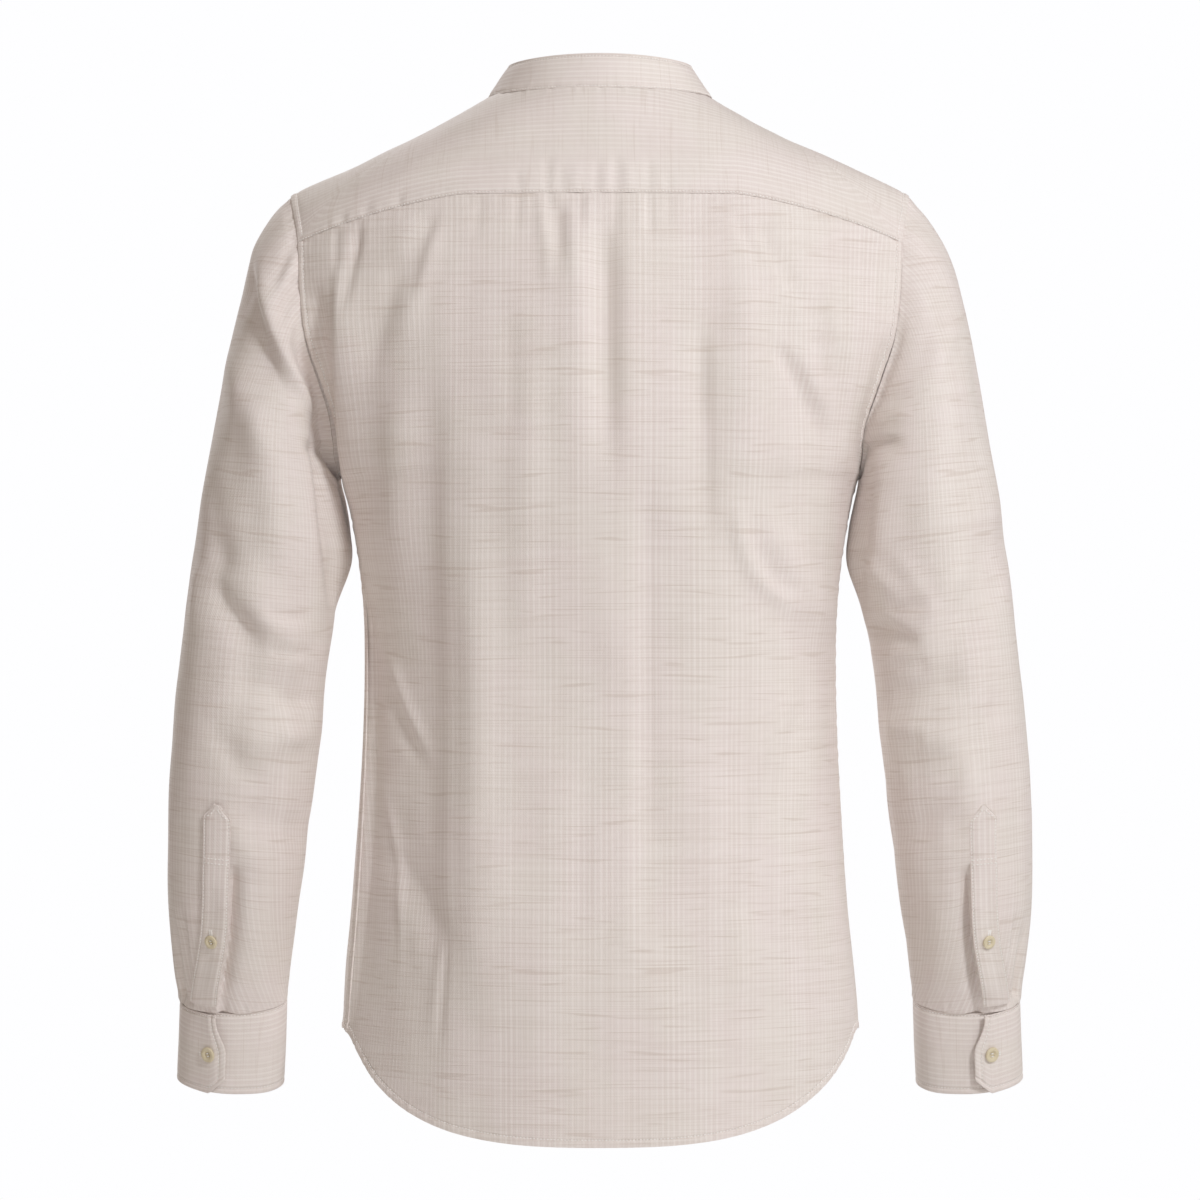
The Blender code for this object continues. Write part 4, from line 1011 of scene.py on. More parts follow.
def sleeve_placket(down, across):
    """The strip over the left sleeve's slit, a layer outside the sleeve, with a pointed top."""
    start = SLIT[0].height
    height = start + (SLIT[-1].height - start) * down
    taper = np.clip(SLIT_BLUNT + (start - height) / SLIT_POINT, SLIT_BLUNT, 1)
    middle, radius = slit_line(height)
    turn = middle + np.degrees(SLIT_WIDTH / 2 / radius) * taper * across
    share = sleeve_down(height)
    lift = surface_normals(folded_sleeve, share, turn / 360) * PLACKET_LIFT
    return folded_sleeve(share, turn / 360) - lift


def placket_cloth(down, across):
    """The placket with rounded edges and its rows of stitches."""
    points = sleeve_placket(down, across)
    normals = -surface_normals(sleeve_placket, down, across)
    away = (1 - np.abs(across)) * SLIT_WIDTH / 2
    height = rounded(away, FOLD_ROUND) + rounded(down * SLIT_LENGTH, FOLD_ROUND)
    height += groove(away, PLACKET_STITCH)
    opened = step(*PLACKET_STAND_OFF_START, down) * (1 - step(*PLACKET_STAND_OFF_END, down))
    height += PLACKET_STAND_OFF * opened * step(-0.4, 1, across)
    worn = rumple(across * SLIT_WIDTH / 2, down * SLIT_LENGTH, seed=71)
    height += 0.3 * worn * step(0, 0.05, down)
    return points + normals * height[..., None]


def sleeve_down(height):
    """Share down the sleeve at which the line down from the slit's top reaches a height."""
    shares = np.linspace(SLIT_START_SHARE, 1, LOOKUP_STEPS)
    line = plain_sleeve(shares, np.full_like(shares, SLIT[0].turn / 360))
    return np.interp(-height, -line[:, 2], shares)


def linear(code):
    """Linear red, green, blue and alpha of an sRGB hex colour."""
    shares = [int(code[place:place + 2], 16) / 255 for place in (1, 3, 5)]
    values = [share / 12.92 if share <= 0.04045 else ((share + 0.055) / 1.055) ** 2.4
              for share in shares]
    return (*values, 1.0)


# ---- Meshes


def spaced(length, start, end, count):
    """Shares along lengths: given distances from the start, even steps, and given distances from
    the end. One row of shares for each length."""
    length = np.atleast_1d(np.asarray(length, float))[:, None]
    first = np.array([start], float)
    last = np.array([end], float)[:, ::-1]
    inner = np.linspace(0, 1, count + 2)[1:-1]
    middle = first[:, -1:] + (length - first[:, -1:] - last[:, :1]) * inner
    rows = len(length)
    return np.concatenate([np.repeat(first, rows, axis=0), middle,
                           length - np.repeat(last, rows, axis=0)], axis=1) / length


def grid_normals(points, closed):
    """Unit normals of a grid of points: the way to the next column times the way to the next row."""
    if closed:
        wrapped = np.concatenate([points[:, -2:-1], points, points[:, 1:2]], axis=1)
        sideways = (wrapped[:, 2:] - wrapped[:, :-2])
    else:
        sideways = np.gradient(points, axis=1)
    return unit(np.cross(sideways, np.gradient(points, axis=0)))


def link_piece(name, mesh):
    """The mesh as an object of the shirt, at the origin."""
    piece = bpy.data.objects.new(name, mesh)
    bpy.context.scene.collection.objects.link(piece)
    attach(piece, "root")
    return piece


def add_mesh(name, points, faces, face_maps=None, mirror=False):
    """A smooth piece from points in millimetres, at the origin. faces is a list of arrays, one for
    each number of corners. face_maps gives a cloth place in millimetres to each corner of each
    face. A mirrored piece is the image on the wearer's right."""
    used, numbers = np.unique(np.concatenate([part.ravel() for part in faces]),
                              return_inverse=True)
    ends = np.cumsum([part.size for part in faces])[:-1]
    faces = [part.reshape(old.shape) for part, old in zip(np.split(numbers.ravel(), ends), faces)]
    points = points[used] * np.array([-1.0 if mirror else 1.0, 1.0, 1.0])
    if mirror:
        faces = [part[:, ::-1] for part in faces]
    mesh = bpy.data.meshes.new(name)
    rows = [row for part in faces for row in part.tolist()]
    mesh.from_pydata((points * MM).tolist(), [], rows)
    if face_maps is not None:
        places = face_maps[:, ::-1] if mirror else face_maps
        layer = mesh.uv_layers.new(name="cloth")
        layer.data.foreach_set("uv", (places * MM).astype(np.float32).ravel())
    mesh.shade_smooth()
    mesh.set_sharp_from_angle(angle=math.radians(SHARP_TURN))
    return link_piece(name, mesh)


def tuck_under(grids, side):
    """Grids of points, normals and cloth places with more rows past one side, which run on a
    little deeper, so that they lie under the next piece."""
    across = side in ("first", "last")
    back = side in ("foot", "last")
    grids = [values.swapaxes(0, 1) if across else values for values in grids]
    points, normals, places = [values[::-1] if back else values for values in grids]
    ahead = unit(points[0] - points[TUCK_LOOK_BACK])
    more = np.stack([points[0] + ahead * tuck.ahead - normals[0] * tuck.below for tuck in TUCKS])
    longer = [np.concatenate([more, points])]
    longer += [np.concatenate([np.repeat(values[:1], len(TUCKS), axis=0), values])
               for values in (normals, places)]
    longer = [values[::-1] if back else values for values in longer]
    return [values.swapaxes(0, 1) if across else values for values in longer]


def add_shell(name, points, places, facing=1, closed=False, mirror=False, wall=WALL, tucked=()):
    """A cloth piece: a grid of outer points, and a wall on the inside. A closed grid's last column
    lies on its first. facing is 1 where the way to the next column times the way to the next row
    points out of the shirt, and -1 where it points in. tucked names the sides that run on under
    the next piece."""
    grids = [points, grid_normals(points, closed) * facing, places]
    for side in tucked:
        grids = tuck_under(grids, side)
    points, normals, places = grids
    rows, cols = points.shape[:2]
    count = rows * cols
    both = np.concatenate([points.reshape(-1, 3), (points - wall * normals).reshape(-1, 3)])
    number = np.arange(count).reshape(rows, cols)
    corners = [number[:-1, :-1], number[:-1, 1:], number[1:, 1:], number[1:, :-1]]
    outer = np.stack(corners, axis=-1).reshape(-1, 4)
    if closed:
        rims = [number[0], number[-1, ::-1]]
    else:
        rims = [np.concatenate([number[0, :-1], number[:-1, -1], number[-1, :0:-1],
                                number[::-1, 0]])]
    edges = [np.stack([rim[1:], rim[:-1], rim[:-1] + count, rim[1:] + count], axis=-1)
             for rim in rims]
    faces = np.concatenate([outer, outer[:, ::-1] + count, *edges])
    if facing < 0:
        faces = faces[:, ::-1]
    face_maps = np.concatenate([places.reshape(-1, 2)] * 2)[faces]
    if closed:
        joined = number.copy()
        joined[:, -1] = joined[:, 0]
        joined = np.concatenate([joined.ravel(), joined.ravel() + count])
        faces = joined[faces]
    return add_mesh(name, both, [faces], face_maps, mirror)


def arc_places(points, middle, start=0.0):
    """Distance along each row of a grid from its middle column."""
    steps = np.linalg.norm(np.diff(points, axis=1), axis=-1)
    length = np.concatenate([np.zeros((len(points), 1)), np.cumsum(steps, axis=1)], axis=1)
    return length - length[:, middle:middle + 1] + start


def stitch_faces(count):
    """Quads between the four rings of each stitch, and a fan of triangles at each of its poles."""
    ring = np.arange(4 * STITCH_SIDES).reshape(4, STITCH_SIDES)
    ring = np.concatenate([ring, ring[:, :1]], axis=1)
    sides = np.stack([ring[:-1, :-1], ring[:-1, 1:], ring[1:, 1:], ring[1:, :-1]], axis=-1)
    pole = np.full(STITCH_SIDES, 4 * STITCH_SIDES)
    fans = np.concatenate([np.stack([pole, ring[0, 1:], ring[0, :-1]], axis=-1),
                           np.stack([pole + 1, ring[-1, :-1], ring[-1, 1:]], axis=-1)])
    shift = (4 * STITCH_SIDES + 2) * np.arange(count)[:, None, None]
    return [(one + shift).reshape(-1, one.shape[-1]) for one in (sides.reshape(-1, 4), fans)]


def spindles(at, way, up, length=STITCH_LENGTH, radius=STITCH_RADIUS, bow=0.0):
    """Points of stitches at places, along ways: spindles of four rings whose girth follows a half
    sine, with their middle raised by bow."""
    side = unit(np.cross(up, way))
    along = np.array([-0.42, -0.18, 0.18, 0.42]) * length
    rise = np.array([-1.0, 1.0, 1.0, -1.0]) * bow
    girth = np.array([0.6, 1.0, 1.0, 0.6]) * radius
    spin = np.arange(STITCH_SIDES) / STITCH_SIDES * 2 * math.pi
    ring = (side[:, None, None] * np.cos(spin)[None, None, :, None]
            + up[:, None, None] * np.sin(spin)[None, None, :, None]) * girth[None, :, None, None]
    spine = way[:, None] * along[None, :, None] + up[:, None] * rise[None, :, None]
    body = (at[:, None, None] + spine[:, :, None] + ring).reshape(len(at), -1, 3)
    tips = np.array([-0.5, 0.5])[None, :, None] * length
    return np.concatenate([body, at[:, None] + way[:, None] * tips - up[:, None] * bow], axis=1)


def stitch_row(line, normals):
    """Stitches end to end along a line on a surface, set half into the cloth."""
    steps = np.linalg.norm(np.diff(line, axis=0), axis=1)
    length = np.concatenate([[0], np.cumsum(steps)])
    count = max(int(length[-1] / STITCH_PITCH), 1)
    middles = (np.arange(count) + 0.5) * length[-1] / count
    at = along_line(length, line, middles)
    up = unit(along_line(length, normals, middles))
    way = unit(along_line(length, line, middles + 0.5) - along_line(length, line, middles - 0.5))
    return spindles(at + up * STITCH_LIFT, way, up)


def along_line(length, values, places):
    """Values of a line read at distances along it."""
    return np.stack([np.interp(places, length, values[:, axis]) for axis in range(3)], axis=-1)


def buttonhole(centre, along, up):
    """Satin stitches side by side along both edges of a slot."""
    places = np.arange(-BUTTONHOLE / 2, BUTTONHOLE / 2, SATIN_PITCH)
    side = np.cross(up, along)
    at = np.concatenate([centre + np.outer(places, along) + side * shift + up * 0.1
                         for shift in (-SLOT_HALF_GAP, SLOT_HALF_GAP)])
    count = len(at)
    return spindles(at, np.tile(side, (count, 1)), np.tile(up, (count, 1)), SATIN_LENGTH)


def add_stitches(name, rows, mirror):
    """One piece of thread from rows of stitches, each a line of points and its normals."""
    stitches = np.concatenate([stitch_row(*row) for row in rows])
    faces = stitch_faces(len(stitches))
    piece = add_mesh(name, stitches.reshape(-1, 3), faces, mirror=mirror)
    finish_piece(piece, shirt_material("thread"))
    return piece


def on_surface(shape, down, across, facing=1):
    """A line on a surface and the surface's outward normals along it. One of the shares may be a
    single number."""
    down, across = np.broadcast_arrays(np.asarray(down, float), np.asarray(across, float))
    return shape(down, across), surface_normals(shape, down, across) * facing


def finish_piece(piece, material):
    """Gives the piece its material."""
    piece.data.materials.append(material)


# ---- Materials


def add_node(tree, kind, attributes, inputs):
    """A node with its settings. An input is a value, or the socket that it is linked to."""
    node = tree.nodes.new(kind)
    for name, value in attributes.items():
        setattr(node, name, value)
    for name, value in inputs.items():
        if isinstance(value, bpy.types.NodeSocket):
            tree.links.new(value, node.inputs[name])
        else:
            node.inputs[name].default_value = value
    return node


def new_material(name):
    material = bpy.data.materials.new(name)
    material.use_nodes = True
    material.node_tree.nodes.clear()
    return material


def woven_cloth(settings, name, slub_most, cord_most):
    """Cotton and linen shirting, plain woven from uneven yarn. Light cords stand every few
    millimetres along the warp with a thinner line between each two, thick places in the weft yarn
    show as long faint lines across, and the grain of the weave runs into slanting ribs where the
    yarn is finer. Low sheen, no gloss."""
    material = new_material(name)
    tree = material.node_tree
    place = add_node(tree, "ShaderNodeUVMap", {"uv_map": "cloth"}, {})
    in_mm = add_node(tree, "ShaderNodeVectorMath", {"operation": "SCALE"},
                     {0: place.outputs[0], "Scale": 1000.0})
    split = add_node(tree, "ShaderNodeSeparateXYZ", {}, {0: in_mm.outputs[0]})

    def noise(u_size, v_size, detail=0.0, offset=0.0):
        scaled = add_node(tree, "ShaderNodeMapping", {},
                          {"Vector": in_mm.outputs[0], "Location": (offset, offset * 0.7, 0.0),
                           "Scale": (1 / u_size, 1 / v_size, 1.0)})
        node = add_node(tree, "ShaderNodeTexNoise", {"noise_dimensions": "2D"},
                        {"Vector": scaled.outputs[0], "Scale": 1.0, "Detail": detail,
                         "Roughness": 0.5})
        return node.outputs[0]

    def maths(operation, *values):
        return add_node(tree, "ShaderNodeMath", {"operation": operation},
                        dict(enumerate(values))).outputs[0]

    def between(value, low, high, start=0.0, end=1.0):
        node = add_node(tree, "ShaderNodeMapRange", {"interpolation_type": "SMOOTHSTEP"},
                        {"Value": value, "From Min": low, "From Max": high, "To Min": start,
                         "To Max": end})
        return node.outputs[0]

    def blend(share, under, over):
        under, over = (value if isinstance(value, bpy.types.NodeSocket) else (*value, 1.0)
                       for value in (under, over))
        node = add_node(tree, "ShaderNodeMix", {"data_type": "RGBA"}, {0: share, 6: under, 7: over})
        return node.outputs[2]

    def weighed(*parts):
        scaled = [maths("MULTIPLY", value, weight) for value, weight in parts]
        return functools.reduce(lambda total, value: maths("ADD", total, value), scaled)

    def wave(along, pitch):
        return maths("COSINE", maths("MULTIPLY", along, 2 * math.pi / pitch))

    # Cords along the warp, which wander a little, and a thinner line between each two
    shifted = maths("ADD", split.outputs[0], maths("MULTIPLY", noise(9.0, 900.0), 0.9))
    cords = between(wave(shifted, CORD_PITCH), -0.5, 1.0)
    lines = between(wave(shifted, CORD_PITCH / 2), 0.55, 1.0)
    groups = between(noise(22.0, 200.0, offset=17.0), 0.3, 0.7, 0.5 * cord_most, cord_most)
    # Thick weft yarn: thin lines across at uneven distances, which come and go along their length
    bent = maths("ADD", split.outputs[1], maths("MULTIPLY", noise(160.0, 6.0, offset=29.0), 9.0))
    row = between(wave(bent, SLUB_PITCH), 0.72, 0.98)
    fading = between(noise(30.0, 2.6, offset=11.0), 0.40, 0.66)
    slub_share = maths("MULTIPLY", maths("MULTIPLY", row, fading), slub_most)
    weft = between(noise(120.0, 0.9, offset=5.0), 0.45, 0.72, 0.0, 0.5 * slub_most)
    bright_weft = between(noise(90.0, 0.8, offset=83.0), 0.54, 0.72, 0.0, 0.5 * slub_most)
    streaks = between(noise(2.6, 340.0, detail=1.0, offset=47.0), 0.36, 0.66, 0.0, 0.08)
    # Grain of the weave, and slanting ribs in zones
    grain = maths("MULTIPLY", wave(split.outputs[0], GRAIN_PITCH), wave(split.outputs[1], GRAIN_PITCH))
    slant = maths("ADD", split.outputs[0], maths("MULTIPLY", split.outputs[1], -0.9))
    ribs = maths("MULTIPLY", wave(slant, RIB_PITCH), between(noise(32.0, 46.0, offset=41.0), 0.4, 0.62))
    patches = between(noise(55.0, 80.0, detail=2.0, offset=71.0), 0.35, 0.65)

    dots = weighed((grain, 0.06), (ribs, 0.072))
    colour = blend(patches, settings.rose, settings.sand)
    layers = ((streaks, settings.slub), (maths("MULTIPLY", cords, groups), settings.cord),
              (bright_weft, settings.cord), (maths("MULTIPLY", lines, 0.16), settings.cord),
              (slub_share, settings.slub), (weft, settings.slub),
              (maths("MAXIMUM", dots, 0.0), settings.slub))
    for share, yarn in layers:
        colour = blend(share, colour, yarn)
    relief = weighed((cords, 0.5), (lines, 0.2), (slub_share, 1.2), (grain, -0.14), (ribs, -0.18),
                     (noise(0.9, 0.9, offset=3.0), 0.5))
    bump = add_node(tree, "ShaderNodeBump", {},
                    {"Height": relief, "Strength": 0.55, "Distance": 0.00022})
    shader = add_node(tree, "ShaderNodeBsdfPrincipled", {},
                      {"Base Color": colour, "Roughness": 0.92, "Normal": bump.outputs[0],
                       "Specular IOR Level": 0.25, "Sheen Weight": 0.25,
                       "Sheen Roughness": 0.45})
    add_node(tree, "ShaderNodeOutputMaterial", {}, {"Surface": shader.outputs[0]})
    return material


def two_tone(name, scale, detail, tones, roughness):
    """A plain surface whose colour drifts between two tones, with a noise of the given scale."""
    material = new_material(name)
    tree = material.node_tree
    place = add_node(tree, "ShaderNodeTexCoord", {}, {})
    scaled = add_node(tree, "ShaderNodeMapping", {},
                      {"Vector": place.outputs["Object"], "Scale": scale})
    noise = add_node(tree, "ShaderNodeTexNoise", {},
                     {"Vector": scaled.outputs[0], "Scale": 1.0, "Detail": detail})
    mix = add_node(tree, "ShaderNodeMix", {"data_type": "RGBA"},
                   {0: noise.outputs[0], 6: linear(tones[0]), 7: linear(tones[1])})
    shader = add_node(tree, "ShaderNodeBsdfPrincipled", {},
                      {"Base Color": mix.outputs[2], "Roughness": roughness})
    add_node(tree, "ShaderNodeOutputMaterial", {}, {"Surface": shader.outputs[0]})
    return material


def thread():
    """Spun polyester sewing thread, twisted from plies: fine uneven white with a soft sheen."""
    return two_tone("polyester_sewing_thread_twisted", (1400.0, 1400.0, 1400.0), 2.0,
                    ("#FAF6F2", "#FFFEFC"), 0.6)


def button_resin():
    """Polyester resin cast and turned to look like pale horn: cream with faint cloudy streaks, a
    soft polish."""
    return two_tone("polyester_resin_turned_horn_look", (90.0, 90.0, 400.0), 3.0,
                    ("#D2C4A2", "#E6DCC2"), 0.5)


def studio_floor():
    """Matt painted studio floor: even pale grey-white, no gloss."""
    return two_tone("matt_painted_studio_floor", (2.0, 2.0, 2.0), 2.0, ("#F2F2F2", "#F6F6F6"), 0.9)


@functools.cache
def shirt_material(name):
    """The materials, each made once."""
    settings = bpy.context.scene.shirt_cloth
    if name == "cloth":
        return woven_cloth(settings, "cotton_linen_shirting_woven_stripe", slub_most=0.25,
                           cord_most=0.45)
    if name == "cross_cloth":
        return woven_cloth(settings, "cotton_linen_shirting_woven_stripe_cut_across",
                           slub_most=0.14, cord_most=0.5)
    return {"thread": thread, "button": button_resin, "floor": studio_floor}[name]()


# ---- Settings


def tone(name, description, code):
    """A colour of the cloth as a setting."""
    return FloatVectorProperty(name=name, description=description, subtype="COLOR",
                               default=linear(code)[:3], min=0.0, max=1.0)


def power(name, description, default):
    """The power of a lamp as a setting."""
    return FloatProperty(name=name, description=description, default=default, min=0.0,
                         unit="POWER")


class ShirtClothSettings(bpy.types.PropertyGroup):
    """Thickness and colours of the cloth."""

    wall: FloatProperty(name="Cloth thickness", description="Thickness of one layer of cloth",
                        default=WALL * MM, min=0.0003, max=0.0015, unit="LENGTH")
    rose: tone("Rose ground", "Pinker patches of the ground", "#EAE0DC")
    sand: tone("Sand ground", "Yellower patches of the ground", "#E9E1DB")
    cord: tone("Cords", "Light cords along the warp", "#F9F3EF")
    slub: tone("Slubs", "Thin dark lines and thick yarn", "#BCA898")


class ShirtStudioSettings(bpy.types.PropertyGroup):
    """Light of the studio."""

    key: power("Key light", "Power of each main light, behind and in front", 41.0)
    fill: power("Fill light", "Power of each light from straight on", 10.0)
    edge: power("Edge light", "Power of the light from the side", 11.0)
    top: power("Top light", "Power of the light from above", 14.0)
    sky: FloatProperty(name="Room light", description="Strength of the light from all round",
                       default=0.28, min=0.0, max=2.0)


# ---- Pieces


def add_cloth(name, node, slot, points, places, sheet, rows=(), mirror=False, **shell):
    """A cloth piece in place of its solid, and its threads from rows of stitches. The sheet with its cut
    is not used.
    """
    piece = add_shell(f"{name}_cloth", points, places, mirror=mirror, **shell)
    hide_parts(node)
    finish_piece(piece, shirt_material(slot))
    if rows:
        sheet = {**sheet, "with_pieces": [add_stitches(f"{name}_stitches", rows, mirror)]}


def half_and_half(shares):
    """Shares from 0 to 1 mirrored about 0, with one middle column."""
    return np.concatenate([-shares[:, :0:-1], shares], axis=1)


EDGE_STEPS = (0.0, 0.5, 1.2, 2.2, 3.4, 4.3, 4.9, 5.5, 6.2, 7.4, 9.0)
SEAM_STEPS = (0.0, 0.8, 1.8, 3.2, 5.0)
STITCH_STEPS = (0.0, 0.3, 0.7, 1.1, 1.5, 1.9, 2.3, 2.9, 4.0)


class SHIRT_OT_back(bpy.types.Operator):
    """Makes the back with its folds, creases, armhole bands and hem."""

    bl_idname = "shirt.back"
    bl_label = "Back"

    def execute(self, context):
        downs = spaced(BACK_LENGTH, SEAM_STEPS, EDGE_STEPS, 172)[0]
        downs[0] = SEAM_INSET
        width = np.interp(downs, *half_widths(True))
        # The distances count from the side edge, so the shares are turned round
        shares = 1 - spaced(width, EDGE_STEPS, (0.0,), 80)[:, ::-1]
        across = half_and_half(shares) * SIDE_SHARE
        down = np.repeat(downs[:, None], across.shape[1], axis=1)
        plain = back_panel(down, across)
        places = np.stack([arc_places(plain, across.shape[1] // 2), -plain[..., 2]], axis=-1)
        line = np.linspace(-0.995, 0.995, 600)
        hem = on_surface(back, 1 - HEM_STITCH / hem_length(line, True), line)
        rows = [hem]
        for side in (-1, 1):
            below = np.linspace(0.004, armed_down(True), 160)
            away = FELL_STITCH / np.interp(below, *half_widths(True))
            rows.append(on_surface(back, below, side * (1 - away)))
        add_cloth("back", "back", "cloth", back(down, across), places,
                  {"flat": (0.50, 0.68), "rests_on": ["yoke"], "area": 0.306}, rows,
                  wall=wall(context), tucked=["top"])
        return {"FINISHED"}


def wall(context):
    return context.scene.shirt_cloth.wall / MM


def armed_down(on_back):
    """Share down a panel's edge at which the armhole ends."""
    top = YOKE_SEAM_END if on_back else FRONT_CORNER
    return (UNDERARM - top) / (HEM_SIDE - top)


class SHIRT_OT_yoke(bpy.types.Operator):
    """Makes the yoke with its stitched back seam and small gathers."""

    bl_idname = "shirt.yoke"
    bl_label = "Yoke"

    def execute(self, context):
        half = np.concatenate([np.linspace(0, YOKE_BACK_SHARE, 91),
                               np.linspace(YOKE_BACK_SHARE, SIDE_SHARE, 36)[1:]])[None, :]
        around = half_and_half(half)[0]
        outs = spaced(YOKE_LENGTH, (0.0, 1.0, 2.2, 4.0), STITCH_STEPS + (5.0, 5.6, 6.4, 7.6), 34)[0]
        outs[-1] = YOKE_OUTER_SHARE
        out, around = grid(outs, around)
        plain = yoke(out, around)
        seam = plain[-1, np.abs(around[-1]) <= YOKE_BACK_SHARE]
        seam_y = np.interp(plain[..., 0], seam[:, 0], seam[:, 1])
        seam_z = np.interp(plain[..., 0], seam[:, 0], seam[:, 2])
        from_seam = np.hypot(plain[..., 1] - seam_y, plain[..., 2] - seam_z)
        places = np.stack([from_seam, plain[..., 0] * YOKE_STRETCH], axis=-1)
        line = np.linspace(-YOKE_BACK_SHARE, YOKE_BACK_SHARE, 500)
        length = np.interp(np.abs(line), *yoke_lengths())
        rows = [on_surface(yoke_cloth, 1 - EDGE_STITCH / length, line)]
        for side in (-1, 1):
            over = np.linspace(YOKE_BACK_SHARE, 0.995, 80)
            length = np.interp(over, *yoke_lengths())
            rows.append(on_surface(yoke_cloth, 1 - FELL_STITCH / length, side * over))
            down = np.linspace(0.02, 0.98, 100)
            rows.append(on_surface(yoke_cloth, down, side * 0.985))
        add_cloth("yoke", "yoke", "cross_cloth", yoke_cloth(out, around), places,
                  {"flat": (0.47, 0.19), "area": 0.062}, rows, wall=wall(context))
        return {"FINISHED"}


class SHIRT_OT_fronts(bpy.types.Operator):
    """Makes the left front, the right front and the button stand."""

    bl_idname = "shirt.fronts"
    bl_label = "Fronts"

    def execute(self, context):
        downs = spaced(FRONT_LENGTH, SEAM_STEPS, EDGE_STEPS, 130)[0]
        downs[0] = 2 * SEAM_INSET
        half_stand = STAND_WIDTH / 2
        neck_end = front_neck_share()
        inner_start = front_across(downs, half_stand + SEAM_GAP)[:, None]
        under = front_across(downs, UNDERLAP)[:, None]
        width = np.interp(downs, *half_widths(False))
        outer = 1 - spaced(width * (1 - neck_end), EDGE_STEPS, (0.0,), 60)[:, ::-1]
        outer = neck_end + (1 - neck_end) * outer
        outer[:, -1] = SIDE_SHARE
        inner = np.linspace(0, 1, 28)[:-1]
        left = np.concatenate([inner_start + (neck_end - inner_start) * inner, outer], axis=1)
        right = np.concatenate([-outer[:, ::-1],
                                -neck_end + (under + neck_end) * (1 - inner[::-1])], axis=1)
        for side, shape, across in (("left", front, left), ("right", right_front, right)):
            down = np.repeat(downs[:, None], across.shape[1], axis=1)
            plain = plain_front(down, across)
            middle = 0 if side == "left" else across.shape[1] - 1
            start = plain[:, middle:middle + 1, 0]
            places = np.stack([arc_places(plain, middle) + start, -plain[..., 2]], axis=-1)
            tucked = ["top", "first", "last"] if side == "left" else ["top", "first"]
            sign = 1 if side == "left" else -1
            hem_line = sign * np.linspace(0.12, 0.995, 300)
            hem = on_surface(shape, 1 - HEM_STITCH / hem_length(hem_line, False),
                             hem_line, -1)
            below = np.linspace(0.004, armed_down(False), 160)
            away = FELL_STITCH / np.interp(below, *half_widths(False))
            hole = on_surface(shape, below, sign * (1 - away), -1)
            add_cloth(f"front_{side}", f"front_{side}", "cloth", shape(down, across), places,
                      {"flat": (0.27, 0.66), "rests_on": ["yoke"], "area": 0.146}, [hem, hole],
                      facing=-1, wall=wall(context), tucked=tucked)
        stand = spaced(STAND_WIDTH / 2, STITCH_STEPS + (4.3, 4.6, 5.0), (0.0,), 6)
        stand = half_and_half(1 - stand[:, ::-1])[0]
        down, across = grid(downs, stand)
        points = button_stand(down, across)
        places = np.stack([across * STAND_WIDTH / 2, -points[..., 2]], axis=-1)
        down = np.linspace(0.004, 0.99, 500)
        share = 1 - CUFF_STITCH / (STAND_WIDTH / 2)
        rows = [on_surface(button_stand, down, side * share, -1)
                for side in (-1, 1)]
        add_cloth("button_stand", "front_placket", "cloth", points, places,
                  {"flat": (0.034, 0.665), "rests_on": ["front_right"]}, rows, facing=-1,
                  wall=wall(context))
        return {"FINISHED"}


class SHIRT_OT_collar(bpy.types.Operator):
    """Makes the collar band with its two rows of topstitching."""

    bl_idname = "shirt.collar"
    bl_label = "Collar band"

    def execute(self, context):
        half = np.concatenate([np.linspace(0, 0.92, 121), np.linspace(0.92, 1, 25)[1:]])[None, :]
        downs = spaced(BAND_HEIGHT, STITCH_STEPS, STITCH_STEPS, 12)[0]
        down, around = grid(downs, half_and_half(half)[0])
        plain = collar_band(down, around)
        places = np.stack([down * BAND_HEIGHT, arc_places(plain, around.shape[1] // 2)], axis=-1)
        line = np.linspace(-0.99, 0.99, 500)
        rows = [on_surface(collar_cloth, BAND_TOP_STITCH / BAND_HEIGHT, line),
                on_surface(collar_cloth, 1 - EDGE_STITCH / BAND_HEIGHT, line)]
        add_cloth("collar_band", "collar_band", "cross_cloth", collar_cloth(down, around), places,
                  {"flat": (0.46, 0.032), "rests_on": ["yoke"], "area": 0.0130}, rows,
                  wall=wall(context), tucked=["foot"])
        return {"FINISHED"}


class SHIRT_OT_sleeves(bpy.types.Operator):
    """Makes both sleeves with their folds and puckers."""

    bl_idname = "shirt.sleeves"
    bl_label = "Sleeves"

    def execute(self, context):
        downs = spaced(SLEEVE_LENGTH, SEAM_STEPS, (0.0, 0.8, 2.0, 4.0), 176)[0]
        downs[0] = SLEEVE_INSET
        down, around = grid(downs, np.linspace(-0.5, 0.5, 151))
        plain = plain_sleeve(down, around)
        places = np.stack([arc_places(plain, 75), plain @ np.array(SLEEVE_WAY)], axis=-1)
        for side, shape in (("left", left_sleeve), ("right", right_sleeve)):
            add_cloth(f"sleeve_{side}", f"sleeve_{side}", "cloth", shape(down, around), places,
                      {"flat": (0.47, 0.64), "rests_on": ["yoke", "back", f"front_{side}"],
                       "area": 0.205},
                      mirror=side == "right", facing=-1, closed=True, wall=wall(context),
                      tucked=["top", "foot"])
        return {"FINISHED"}


